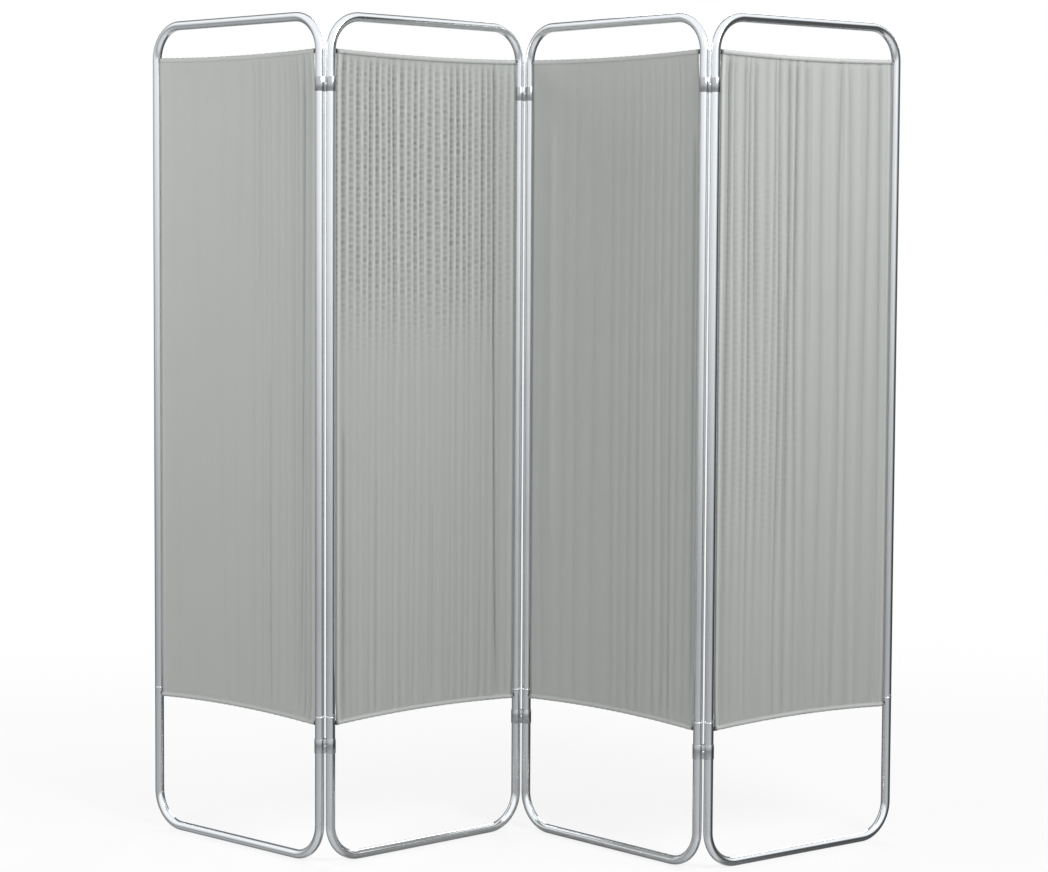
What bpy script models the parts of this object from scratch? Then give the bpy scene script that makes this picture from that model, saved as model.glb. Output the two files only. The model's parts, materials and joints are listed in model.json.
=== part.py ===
# A folding privacy screen: four tubular panels in a row, each with a gathered curtain
# on two rods. Neighbouring panels are joined by two double-looped bands, so the row
# folds like an accordion. It stands here in its half-open zigzag.
#
# Metres, +Z up, X along the row, the viewer on the -Y side.
# The origin is on the floor, under the middle of the row's bounding box.

from math import atan2, cos, pi, radians, sin

import bmesh
import bpy
from mathutils import Matrix, Vector

MM = 0.001
Y_AXIS = Vector((0, 1, 0))
LEFT, RIGHT = SIDES = (-1, 1)

# The panel frames: a bent tube above, a bent tube below, joined in both stiles.
frame_height = 1727 * MM
panel_width = 508 * MM
tube_radius = 9.5 * MM
tube_wall = 1.2 * MM
bend_radius = 70 * MM
tube_sides = 12
bend_steps = 5

# The sleeves inside the stiles, each with a sprung button in a hole of the upper tube.
joint_rise = 11 * MM
sleeve_length = 80 * MM
sleeve_wall = 1.3 * MM
sleeve_clearance = 0.35 * MM
button_radius = 1.75 * MM
button_rise = 8 * MM
button_proud = 0.7 * MM

# The curtains, from the header under the top rail to the hem over the bottom bar.
header_drop = 75 * MM
curtain_bottom = 284 * MM
cloth_thickness = 1.6 * MM
hem_wall = 1.9 * MM
hem_depth = 24 * MM
curtain_side_gap = 3.5 * MM
hem_end_gap = 3 * MM
columns_per_fold = 4
hem_fold_share = 0.15
hem_edge_fold_share = 0.9

# The curtain rods: round bars with flattened, drilled ends.
rod_radius = 2.5 * MM
rod_clearance = 0.6 * MM
tab_radius = 4.5 * MM
tab_thickness = 2 * MM
tab_hole_wall = 2 * MM

# The hooks that carry the rods: wire set in the stile, its tip turned up.
hook_radius = 1.2 * MM
hook_reach = 9 * MM
hook_clearance = 0.7 * MM
hook_tip_rise = 4 * MM
hook_bend = 1.5 * MM

# The hinge bands: strip metal looped round two stiles and riveted at its waist. One stands
# a gap below the curtains' top edge, the other a gap below their hem.
stile_gap = 3.2 * MM
band_clearance = 0.25 * MM
band_thickness = 0.8 * MM
band_height = 29 * MM
waist_dip = 4.65 * MM
upper_band_gap = 56.5 * MM
lower_band_gap = 26.5 * MM
loop_steps = 14
waist_steps = 4

# The rivets through the waists.
rivet_side_gap = 0.4 * MM
rivet_clearance = 0.25 * MM
rivet_head_radius = 1.9 * MM
rivet_head_height = 1.3 * MM
rivet_dome_share = 0.6

# Where one piece rests on another, and how far a cutter runs past what it cuts.
seat_gap = 0.3 * MM
cutter_overrun = 2 * MM
merge_distance = 0.01 * MM
small_sides = 8
smooth_angle = radians(40)

# How the row stands: how far the two outer and the two inner panels turn from its line.
outer_lean = radians(37.6)
inner_lean = radians(42.4)

# Colours are linear RGB, each with its metallic and roughness values.
FINISHES = {
    "chrome_tube": ((0.78, 0.79, 0.80), 1.0, 0.12),
    "hinge_metal": ((0.62, 0.63, 0.64), 1.0, 0.22),
    "rod_steel": ((0.66, 0.67, 0.67), 1.0, 0.28),
    "inner_steel": ((0.40, 0.40, 0.41), 1.0, 0.45),
    "curtain_cloth": ((0.42, 0.44, 0.42), 0.0, 0.85),
}

# Sizes that follow from those above.
stile_spacing = panel_width - 2 * tube_radius
panel_half = stile_spacing / 2
flat_radius = tube_radius * cos(pi / tube_sides)
bore_radius = tube_radius - tube_wall
bore_flat_radius = bore_radius * cos(pi / tube_sides)
sleeve_radius = bore_flat_radius - sleeve_clearance
rod_bore_radius = rod_radius + rod_clearance
hem_half = rod_bore_radius + hem_wall
cloth_half = cloth_thickness / 2
curtain_top = frame_height - header_drop
top_rod_height = curtain_top - hem_half
bottom_rod_height = curtain_bottom + hem_half
joint_height = bottom_rod_height + joint_rise
tab_half = tab_thickness / 2
tab_hole_radius = hook_radius + hook_clearance
tab_inset = flat_radius + hook_reach
hem_inset = tab_inset + tab_radius + hem_end_gap
cloth_inset = tube_radius + curtain_side_gap
hook_drop = tab_half + seat_gap + hook_radius
hinge_spacing = 2 * tube_radius + stile_gap
hinge_half = hinge_spacing / 2
band_inner = tube_radius + band_clearance
band_outer = band_inner + band_thickness
waist_face = band_outer - waist_dip
waist_radius = (hinge_half**2 + waist_face**2 - band_outer**2) / (2 * waist_dip)
waist_centre = waist_face + waist_radius
upper_band_height = curtain_top - upper_band_gap - band_height / 2
lower_band_height = curtain_bottom - lower_band_gap - band_height / 2
rivet_radius = stile_gap / 2 - rivet_side_gap


def material(slot):
    found = bpy.data.materials.get(slot)
    if found:
        return found
    colour, metallic, roughness = FINISHES[slot]
    made = bpy.data.materials.new(slot)
    made.use_nodes = True
    shader = made.node_tree.nodes["Principled BSDF"]
    shader.inputs["Base Color"].default_value = (*colour, 1)
    shader.inputs["Metallic"].default_value = metallic
    shader.inputs["Roughness"].default_value = roughness
    made.diffuse_color = (*colour, 1)
    return made


def mesh_from(name, build):
    """A mesh that build fills as a bmesh, with its faces turned outwards."""
    shape = bmesh.new()
    build(shape)
    bmesh.ops.recalc_face_normals(shape, faces=shape.faces)
    mesh = bpy.data.meshes.new(name)
    shape.to_mesh(mesh)
    shape.free()
    return mesh


def place(name, mesh, parent, slot, location=(0, 0, 0), turn=0):
    """One named piece, held by the empty of the panel or hinge that it belongs to."""
    obj = bpy.data.objects.new(name, mesh)
    bpy.context.scene.collection.objects.link(obj)
    obj.parent = parent
    obj.location = location
    obj.rotation_euler.z = turn
    if not mesh.materials:
        mesh.materials.append(material(slot))
    return obj


def carrier(name, parent, location, turn):
    """An empty on a hinge axis, which carries the pieces of one panel or hinge."""
    empty = bpy.data.objects.new(name, None)
    bpy.context.scene.collection.objects.link(empty)
    empty.parent = parent
    empty.location = location
    empty.rotation_euler.z = turn
    return empty


def cylinder(shape, radius, start, end, sides=small_sides):
    """A closed prism with a flat side on each of the main directions across its axis."""
    start, end = Vector(start), Vector(end)
    along = end - start
    frame = along.to_track_quat("Z", "Y").to_matrix().to_4x4()
    half_side = Matrix.Rotation(pi / sides, 4, "Z")
    bmesh.ops.create_cone(
        shape,
        cap_ends=True,
        segments=sides,
        radius1=radius,
        radius2=radius,
        depth=along.length,
        matrix=Matrix.Translation((start + end) / 2) @ frame @ half_side,
    )


def combined(name, base, steps):
    """The mesh of base after each (operation, mesh) step, worked out as exact Booleans."""
    scene = bpy.context.scene.collection
    body = bpy.data.objects.new(name, base)
    scene.objects.link(body)
    helpers = [body]
    for number, (operation, mesh) in enumerate(steps):
        tool = bpy.data.objects.new(f"{name}_tool_{number}", mesh)
        scene.objects.link(tool)
        helpers.append(tool)
        change = body.modifiers.new(tool.name, "BOOLEAN")
        change.operation = operation
        change.object = tool
    graph = bpy.context.evaluated_depsgraph_get()
    made = bpy.data.meshes.new_from_object(body.evaluated_get(graph))
    made.name = name
    for helper in helpers:
        bpy.data.objects.remove(helper)
    return made


def smooth(mesh):
    mesh.shade_smooth()
    mesh.set_sharp_from_angle(angle=smooth_angle)
    return mesh


def u_path(leg_end, rail_height):
    """The line of a U tube in a panel's plane: points and directions, from the left leg's
    end, round both bends, to the right leg's end."""
    rise = 1 if rail_height > leg_end else -1
    bend_place = panel_half - bend_radius
    bend_height = rail_height - rise * bend_radius
    points = [(Vector((-panel_half, 0, leg_end)), Vector((0, 0, rise)))]
    for centre_x, first in ((-bend_place, pi), (bend_place, pi / 2)):
        for step in range(bend_steps + 1):
            angle = first - step / bend_steps * pi / 2
            out = Vector((cos(angle), 0, rise * sin(angle)))
            centre = Vector((centre_x, 0, bend_height))
            points.append((centre + bend_radius * out, Vector((sin(angle), 0, -rise * cos(angle)))))
    points.append((Vector((panel_half, 0, leg_end)), Vector((0, 0, -rise))))
    return points


def section_ring(shape, centre, direction, radius, sides):
    across = direction.cross(Y_AXIS)
    ring = []
    for side in range(sides):
        angle = (side + 0.5) / sides * 2 * pi
        ring.append(shape.verts.new(centre + radius * (cos(angle) * across + sin(angle) * Y_AXIS)))
    return ring


def skin(shape, first, second):
    """The strip of faces between two rings of as many points."""
    for side in range(len(first)):
        after = (side + 1) % len(first)
        shape.faces.new((first[side], first[after], second[after], second[side]))


def bent_tube(leg_end, rail_height):
    """A hollow U tube with open ends."""

    def build(shape):
        path = u_path(leg_end, rail_height)
        walls = []
        for radius in (tube_radius, bore_radius):
            rings = [section_ring(shape, point, way, radius, tube_sides) for point, way in path]
            for first, second in zip(rings, rings[1:]):
                skin(shape, first, second)
            walls.append(rings)
        outer, inner = walls
        skin(shape, outer[0], inner[0])
        skin(shape, outer[-1], inner[-1])

    return mesh_from("bent_tube", build)


def hook_hole(side, height):
    """The cutter for the hole that holds one hook, in a stile's inner side."""
    start = side * (panel_half - bore_flat_radius + cutter_overrun)
    end = side * (panel_half - tube_radius - cutter_overrun)

    def build(shape):
        level = height - hook_drop
        cylinder(shape, hook_radius + seat_gap, (start, 0, level), (end, 0, level))

    return mesh_from("hook_hole", build)


def button_hole(side):
    """The cutter for the hole that shows the sprung button, in a stile's front."""
    stile = side * panel_half

    def build(shape):
        level = joint_height + button_rise
        start = (stile, -bore_flat_radius + cutter_overrun, level)
        end = (stile, -tube_radius - cutter_overrun, level)
        cylinder(shape, button_radius + seat_gap, start, end)

    return mesh_from("button_hole", build)


def upper_frame_mesh():
    base = bent_tube(joint_height + seat_gap / 2, frame_height - flat_radius)
    cuts = [("DIFFERENCE", hook_hole(side, top_rod_height)) for side in SIDES]
    cuts += [("DIFFERENCE", button_hole(side)) for side in SIDES]
    return smooth(combined("upper_frame", base, cuts))


def lower_frame_mesh():
    base = bent_tube(joint_height - seat_gap / 2, flat_radius)
    cuts = [("DIFFERENCE", hook_hole(side, bottom_rod_height)) for side in SIDES]
    return smooth(combined("lower_frame", base, cuts))


def joint_sleeve_mesh():
    """The sleeve in one stile, centred on the joint, with its button in front."""
    half = sleeve_length / 2

    def outside(shape):
        cylinder(shape, sleeve_radius, (0, 0, -half), (0, 0, half))

    def inside(shape):
        reach = half + cutter_overrun
        cylinder(shape, sleeve_radius - sleeve_wall, (0, 0, -reach), (0, 0, reach))

    def button(shape):
        root = (0, -sleeve_radius + sleeve_wall, button_rise)
        cylinder(shape, button_radius, root, (0, -flat_radius - button_proud, button_rise))

    steps = [("DIFFERENCE", mesh_from("inside", inside)), ("UNION", mesh_from("button", button))]
    return smooth(combined("joint_sleeve", mesh_from("outside", outside), steps))


def rod_mesh():
    """A rod between two tabs, its middle at the origin. Each tab is drilled for a hook."""
    tab_place = panel_half - tab_inset
    bar_end = tab_place - tab_hole_radius - tab_hole_wall

    def bar(shape):
        cylinder(shape, rod_radius, (-bar_end, 0, 0), (bar_end, 0, 0))

    steps = []
    for side in SIDES:
        end = side * tab_place

        def tab(shape):
            cylinder(shape, tab_radius, (end, 0, -tab_half), (end, 0, tab_half), tube_sides)

        def hole(shape):
            reach = tab_half + cutter_overrun
            cylinder(shape, tab_hole_radius, (end, 0, -reach), (end, 0, reach))

        steps.append(("UNION", mesh_from("tab", tab)))
        steps.append(("DIFFERENCE", mesh_from("hole", hole)))
    return smooth(combined("rod", mesh_from("bar", bar), steps))


def hook_mesh():
    """A hook for a left stile: from the stile's wall to the rod's tab, then up through it.
    The origin is on the stile's axis, level with the rod."""
    path = (
        Vector((bore_flat_radius, 0, -hook_drop)),
        Vector((tab_inset - hook_bend, 0, -hook_drop)),
        Vector((tab_inset, 0, hook_bend - hook_drop)),
        Vector((tab_inset, 0, hook_tip_rise)),
    )
    ways = [Vector((cos(tilt), 0, sin(tilt))) for tilt in (0, pi / 8, 3 * pi / 8, pi / 2)]

    def build(shape):
        rings = []
        for point, way in zip(path, ways):
            rings.append(section_ring(shape, point, way, hook_radius, small_sides))
        for first, second in zip(rings, rings[1:]):
            skin(shape, first, second)
        shape.faces.new(rings[0])
        shape.faces.new(rings[-1])

    return smooth(mesh_from("hook", build))


def band_outline(inward):
    """The band's outline round both stiles, drawn in by the given amount."""
    loop = band_outer - inward
    waist = waist_radius + inward
    turn = atan2(waist_centre, hinge_half)
    points = []

    def arc(centre, radius, first, last, steps):
        for step in range(steps):
            angle = first + (last - first) * step / steps
            points.append((centre[0] + radius * cos(angle), centre[1] + radius * sin(angle)))

    arc((-hinge_half, 0), loop, turn, 2 * pi - turn, loop_steps)
    arc((0, -waist_centre), waist, pi - turn, turn, waist_steps)
    arc((hinge_half, 0), loop, turn - pi, pi - turn, loop_steps)
    arc((0, waist_centre), waist, -turn, turn - pi, waist_steps)
    return points


def band_mesh():
    """A hinge band, its waist at the origin and a loop on each side of it."""

    def build(shape):
        levels = (-band_height / 2, band_height / 2)
        outer = [[shape.verts.new((x, y, z)) for x, y in band_outline(0)] for z in levels]
        inner = [[shape.verts.new((x, y, z)) for x, y in band_outline(band_thickness)] for z in levels]
        skin(shape, outer[0], outer[1])
        skin(shape, inner[1], inner[0])
        skin(shape, inner[0], outer[0])
        skin(shape, outer[1], inner[1])

    def hole(shape):
        reach = band_outer + cutter_overrun
        cylinder(shape, rivet_radius + rivet_clearance, (0, -reach, 0), (0, reach, 0))

    cut = [("DIFFERENCE", mesh_from("hole", hole))]
    return smooth(combined("band", mesh_from("strip", build), cut))


def rivet_mesh():
    """A rivet along Y through the waist, a domed head in each hollow."""
    sag = waist_radius - (waist_radius**2 - rivet_head_radius**2) ** 0.5
    seat = waist_face + sag + seat_gap
    profile = (
        (0, seat + rivet_head_height),
        (rivet_head_radius * rivet_dome_share, seat + rivet_head_height),
        (rivet_head_radius, seat + rivet_head_height * (1 - rivet_dome_share)),
        (rivet_head_radius, seat),
        (rivet_radius, seat),
    )

    def build(shape):
        half = [Vector((radius, along, 0)) for radius, along in profile]
        line = half + [Vector((point.x, -point.y, 0)) for point in reversed(half)]
        verts = [shape.verts.new(point) for point in line]
        edges = [shape.edges.new(pair) for pair in zip(verts, verts[1:])]
        bmesh.ops.spin(
            shape,
            geom=verts + edges,
            axis=Y_AXIS,
            cent=(0, 0, 0),
            angle=2 * pi,
            steps=small_sides,
            use_merge=True,
        )
        bmesh.ops.remove_doubles(shape, verts=shape.verts, dist=merge_distance)

    return smooth(mesh_from("rivet", build))


# Each curtain's gathers: how many, how deep, and how much of that depth is left at the
# left side, the middle and the right side.
CURTAIN_FOLDS = (
    {"folds": 7, "depth": 2.2 * MM, "side_shares": (0.35, 0.6, 1.0)},
    {"folds": 10, "depth": 5.0 * MM, "side_shares": (1.0, 0.85, 0.9)},
    {"folds": 7, "depth": 2.6 * MM, "side_shares": (1.0, 0.6, 0.5)},
    {"folds": 9, "depth": 5.5 * MM, "side_shares": (0.8, 1.0, 0.9)},
)


def curtain_rows():
    """From the top down: height, half thickness, distance in from the stile's axis, and the
    share of the fold depth that the row shows."""

    def hem(edge, rod, down):
        return [
            (edge, cloth_half, hem_inset, hem_fold_share),
            (rod + down * hem_half / 2, hem_half, hem_inset, hem_fold_share),
            (rod - down * hem_half / 2, hem_half, hem_inset, hem_fold_share),
            (edge - down * hem_depth, cloth_half, cloth_inset, hem_edge_fold_share),
        ]

    middle = (curtain_top + curtain_bottom) / 2
    header = hem(curtain_top, top_rod_height, 1)
    foot = hem(curtain_bottom, bottom_rod_height, -1)
    return header + [(middle, cloth_half, cloth_inset, 1)] + foot[::-1]


def fold_depth(across, folds, depth, side_shares):
    left, middle, right = side_shares
    if across < 0.5:
        share = left + (middle - left) * across * 2
    else:
        share = middle + (right - middle) * (across * 2 - 1)
    return depth * share * sin(2 * pi * folds * across)


def curtain_mesh(folds):
    """One gathered curtain, its rod pockets open from side to side."""
    columns = folds["folds"] * columns_per_fold

    def cloth(shape):
        loops = []
        for column in range(columns + 1):
            across = column / columns
            wave = fold_depth(across, **folds)
            front, back = [], []
            for height, half, inset, fold_share in curtain_rows():
                x = (2 * across - 1) * (panel_half - inset)
                y = wave * fold_share
                front.append(shape.verts.new((x, y - half, height)))
                back.append(shape.verts.new((x, y + half, height)))
            loops.append((front, back))
        for (front, back), (next_front, next_back) in zip(loops, loops[1:]):
            skin(shape, front + back[::-1], next_front + next_back[::-1])
        for front, back in (loops[0], loops[-1]):
            for row in range(len(front) - 1):
                shape.faces.new((front[row], front[row + 1], back[row + 1], back[row]))

    steps = []
    for rod in (top_rod_height, bottom_rod_height):

        def pocket(shape):
            reach = panel_half - tube_radius
            cylinder(shape, rod_bore_radius, (-reach, 0, rod), (reach, 0, rod))

        steps.append(("DIFFERENCE", mesh_from("pocket", pocket)))
    return smooth(combined("curtain", mesh_from("cloth", cloth), steps))


def middle_depth():
    """How far behind the origin the middle hinge stands, so that the row's bounding box is
    centred on it. A stile of an outer hinge stands nearest to the viewer."""
    nearer_stile = stile_spacing * sin(inner_lean)
    other_stile = nearer_stile + hinge_spacing * sin((inner_lean - outer_lean) / 2)
    return max(nearer_stile, other_stile) / 2


def build_screen():
    """The middle hinge carries a wing of two panels on each side, and each carrier stands on
    the axis that its pieces turn about."""
    meshes = {
        "upper_frame": upper_frame_mesh(),
        "lower_frame": lower_frame_mesh(),
        "joint_sleeve": joint_sleeve_mesh(),
        "rod": rod_mesh(),
        "hook": hook_mesh(),
        "band": band_mesh(),
        "rivet": rivet_mesh(),
    }
    half_fold = (inner_lean + outer_lean) / 2
    middle = carrier("hinge_2", None, (0, middle_depth(), 0), 0)
    build_hinge(middle, 2, 0, meshes)
    for side, inner, hinge_number, outer in ((LEFT, 2, 1, 1), (RIGHT, 3, 3, 4)):
        reach = side * panel_half
        panel = carrier(f"panel_{inner}", middle, (side * hinge_half, 0, 0), -side * inner_lean)
        build_panel(panel, inner, reach, meshes)
        hinge = carrier(f"hinge_{hinge_number}", panel, (2 * reach, 0, 0), side * half_fold)
        build_hinge(hinge, hinge_number, side * hinge_half, meshes)
        panel = carrier(f"panel_{outer}", hinge, (side * hinge_spacing, 0, 0), side * half_fold)
        build_panel(panel, outer, reach, meshes)


def build_panel(panel, number, middle, meshes):
    """The pieces of one panel, whose middle lies that far along its carrier's X axis."""
    centre = (middle, 0, 0)
    place(f"upper_frame_{number}", meshes["upper_frame"], panel, "chrome_tube", centre)
    place(f"lower_frame_{number}", meshes["lower_frame"], panel, "chrome_tube", centre)
    curtain = curtain_mesh(CURTAIN_FOLDS[number - 1])
    place(f"curtain_{number}", curtain, panel, "curtain_cloth", centre)
    levels = (("top", top_rod_height), ("bottom", bottom_rod_height))
    for level, height in levels:
        place(f"{level}_rod_{number}", meshes["rod"], panel, "rod_steel", (middle, 0, height))
    for name, side, turn in (("left", LEFT, 0), ("right", RIGHT, pi)):
        x = middle + side * panel_half
        joint = (x, 0, joint_height)
        place(f"joint_sleeve_{name}_{number}", meshes["joint_sleeve"], panel, "inner_steel", joint)
        for level, height in levels:
            hook = f"{level}_hook_{name}_{number}"
            place(hook, meshes["hook"], panel, "rod_steel", (x, 0, height), turn)


def build_hinge(hinge, number, middle, meshes):
    """The two bands of one hinge, whose waists lie that far along their carrier's X axis."""
    for level, height in (("upper", upper_band_height), ("lower", lower_band_height)):
        waist = (middle, 0, height)
        place(f"{level}_hinge_band_{number}", meshes["band"], hinge, "hinge_metal", waist)
        place(f"{level}_hinge_rivet_{number}", meshes["rivet"], hinge, "hinge_metal", waist)


for old in list(bpy.data.objects):
    bpy.data.objects.remove(old)
build_screen()
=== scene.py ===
# %% [markdown]
# A folding privacy screen, dressed around its construction model.
#
# The construction model already holds every piece of the screen at its real size: bent
# tubes, hinge bands, rods, hooks and curtains. It is plain on purpose. This script gives
# each piece its finished shape and surface: truly round chromed tubes, rolled bands, bowed
# rods, and cloth with gathers, hems and stitches. Metres, +Z up, the viewer on the -Y side.

# %% Load the construction model
import json
from math import atan2, cos, degrees, pi, radians, sin

import bmesh
import bpy
import numpy as np
from mathutils import Matrix, Vector


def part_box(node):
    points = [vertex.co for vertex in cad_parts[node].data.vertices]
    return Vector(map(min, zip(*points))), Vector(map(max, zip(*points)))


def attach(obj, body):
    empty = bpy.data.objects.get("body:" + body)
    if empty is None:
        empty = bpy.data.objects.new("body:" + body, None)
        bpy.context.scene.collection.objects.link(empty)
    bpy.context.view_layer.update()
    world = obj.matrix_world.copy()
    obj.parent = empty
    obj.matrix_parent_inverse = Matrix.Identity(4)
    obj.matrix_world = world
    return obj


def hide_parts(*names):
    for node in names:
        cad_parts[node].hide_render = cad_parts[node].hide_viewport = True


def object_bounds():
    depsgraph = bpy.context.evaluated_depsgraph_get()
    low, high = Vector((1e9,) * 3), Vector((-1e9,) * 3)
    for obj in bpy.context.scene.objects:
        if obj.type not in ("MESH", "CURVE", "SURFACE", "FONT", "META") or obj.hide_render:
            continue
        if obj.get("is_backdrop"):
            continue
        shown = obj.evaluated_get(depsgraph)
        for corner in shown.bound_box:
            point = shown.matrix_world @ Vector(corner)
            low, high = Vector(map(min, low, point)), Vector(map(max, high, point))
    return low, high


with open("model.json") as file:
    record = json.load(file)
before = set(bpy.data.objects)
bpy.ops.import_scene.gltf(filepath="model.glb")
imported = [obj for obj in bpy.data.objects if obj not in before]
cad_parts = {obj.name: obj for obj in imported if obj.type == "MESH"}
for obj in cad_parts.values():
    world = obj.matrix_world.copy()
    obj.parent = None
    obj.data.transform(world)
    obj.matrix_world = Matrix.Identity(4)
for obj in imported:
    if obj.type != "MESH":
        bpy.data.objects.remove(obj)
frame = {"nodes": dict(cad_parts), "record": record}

MM = 0.001
cad_box = [list(corner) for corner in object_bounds()]
print("construction model:", len(frame["nodes"]), "pieces, box", cad_box)

# %% [markdown]
# Four panels stand in a zigzag, and each one is the same frame turned another way. It is
# easiest to make every piece in its panel's own frame, upright and facing the viewer, and
# to turn it into place at the end. A rod lies in the middle of its panel and a fold joint
# on one stile's axis, so those two points give each panel's place and turn.

# %% Find where each panel and each hinge stands
PANELS = (1, 2, 3, 4)
HINGES = (1, 2, 3)
SIDES = (-1, 1)
joints = {joint["name"]: joint for joint in frame["record"]["behaviour"]["joints"]}


def middle_of(node):
    low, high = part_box(node)
    return (low + high) / 2


def panel_place(number):
    """From the panel's own frame, whose origin is on the floor under its middle, to the row's."""
    middle = middle_of(f"top_rod_{number}")
    stile = Vector(joints[f"panel_{number}_fold"]["pos_m"])
    across = (stile - middle) if stile.x > middle.x else (middle - stile)
    turn = Matrix.Rotation(atan2(across.y, across.x), 4, "Z")
    return Matrix.Translation((middle.x, middle.y, 0)) @ turn, across.xy.length


def hinge_place(number):
    """From the hinge's own frame, whose origin is between its two stiles, to the row's."""
    left = place_of[f"panel_{number}"] @ Vector((stile_place, 0, 0))
    right = place_of[f"panel_{number + 1}"] @ Vector((-stile_place, 0, 0))
    turn = atan2(right.y - left.y, right.x - left.x)
    return Matrix.Translation((left + right) / 2) @ Matrix.Rotation(turn, 4, "Z")


stile_place = panel_place(1)[1]
place_of = {f"panel_{number}": panel_place(number)[0] for number in PANELS}
place_of |= {f"hinge_{number}": hinge_place(number) for number in HINGES}
for body, place in place_of.items():
    print(f"{body}: turned {degrees(place.to_euler().z):.1f} degrees")

# %% [markdown]
# A few heights and sizes drive everything else. The heights are read from the construction
# model, so that a finished piece can't drift from the one that it stands for.

# %% Read the driving heights and sizes
tube_radius = 9.5 * MM
model_tube_sides = 12
frame_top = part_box("upper_frame_1")[1].z
joint_height = (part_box("upper_frame_1")[0].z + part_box("lower_frame_1")[1].z) / 2
axis_lift = tube_radius * cos(pi / model_tube_sides)
bend_radius = 70 * MM
top_rod_height = middle_of("top_rod_1").z
bottom_rod_height = middle_of("bottom_rod_1").z
curtain_bottom, curtain_top = (corner.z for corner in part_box("curtain_1"))
upper_band_height = middle_of("upper_hinge_band_1").z
lower_band_height = middle_of("lower_hinge_band_1").z
band_bottom, band_top = (corner.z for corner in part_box("upper_hinge_band_1"))
band_height = band_top - band_bottom
print(f"frame {frame_top:.3f} m high, stiles {2 * stile_place:.3f} m apart")
print(f"curtain from {curtain_bottom:.3f} to {curtain_top:.3f} m")

# %% [markdown]
# The camera stands where the photographer stood: chest high, about five metres away, a
# little right of the middle and tipped down a few degrees. Its place was found by laying
# the frame's corners over the picture, so nothing here has to be adjusted by eye.

# %% Set up the camera
camera_place = Vector((0.2355, -4.9455, 1.2829))
camera_yaw = radians(2.615)
camera_pitch = radians(3.392)
camera_roll = radians(0.318)
focal_length = 82.1
sensor_width = 36
picture_shift = -0.0573


def link_new(name, data):
    """A new object in the scene that shows a mesh, a light or a camera."""
    obj = bpy.data.objects.new(name, data)
    bpy.context.scene.collection.objects.link(obj)
    return obj


camera_data = bpy.data.cameras.new("camera")
camera_data.lens = focal_length
camera_data.sensor_width = sensor_width
camera_data.shift_y = picture_shift
camera = link_new("camera", camera_data)
yaw = Matrix.Rotation(camera_yaw, 4, "Z")
pitch = Matrix.Rotation(pi / 2 - camera_pitch, 4, "X")
roll = Matrix.Rotation(camera_roll, 4, "Z")
camera.matrix_world = Matrix.Translation(camera_place) @ yaw @ pitch @ roll
bpy.context.scene.camera = camera
bpy.context.scene.view_settings.view_transform = "Standard"
print("camera at", tuple(round(value, 3) for value in camera_place))

# %% [markdown]
# Materials and Geometry Nodes are both trees of nodes, and both are full of small sums. A
# sum written as Python reads better than a dozen linked Math nodes, so one small class
# wraps a socket and turns +, -, * and / into those nodes. Every other node is added by one
# method, which takes its type, what goes into its sockets, and its settings.

# %% Write node trees as Python expressions
def paired(operation):
    """The methods that a sum needs with the Wire on its left, and with it on its right."""

    def forwards(self, other):
        return self.tree.maths(operation, self, other)

    def backwards(self, other):
        return self.tree.maths(operation, other, self)

    return forwards, backwards


class Wire:
    """The output of a node. Arithmetic on it adds Math nodes to its tree."""

    __add__, __radd__ = paired("ADD")
    __sub__, __rsub__ = paired("SUBTRACT")
    __mul__, __rmul__ = paired("MULTIPLY")
    __truediv__, __rtruediv__ = paired("DIVIDE")

    def __init__(self, tree, socket):
        self.tree, self.socket = tree, socket

    def __neg__(self):
        return self * -1.0


def grey(level):
    return (level, level, level, 1)


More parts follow.
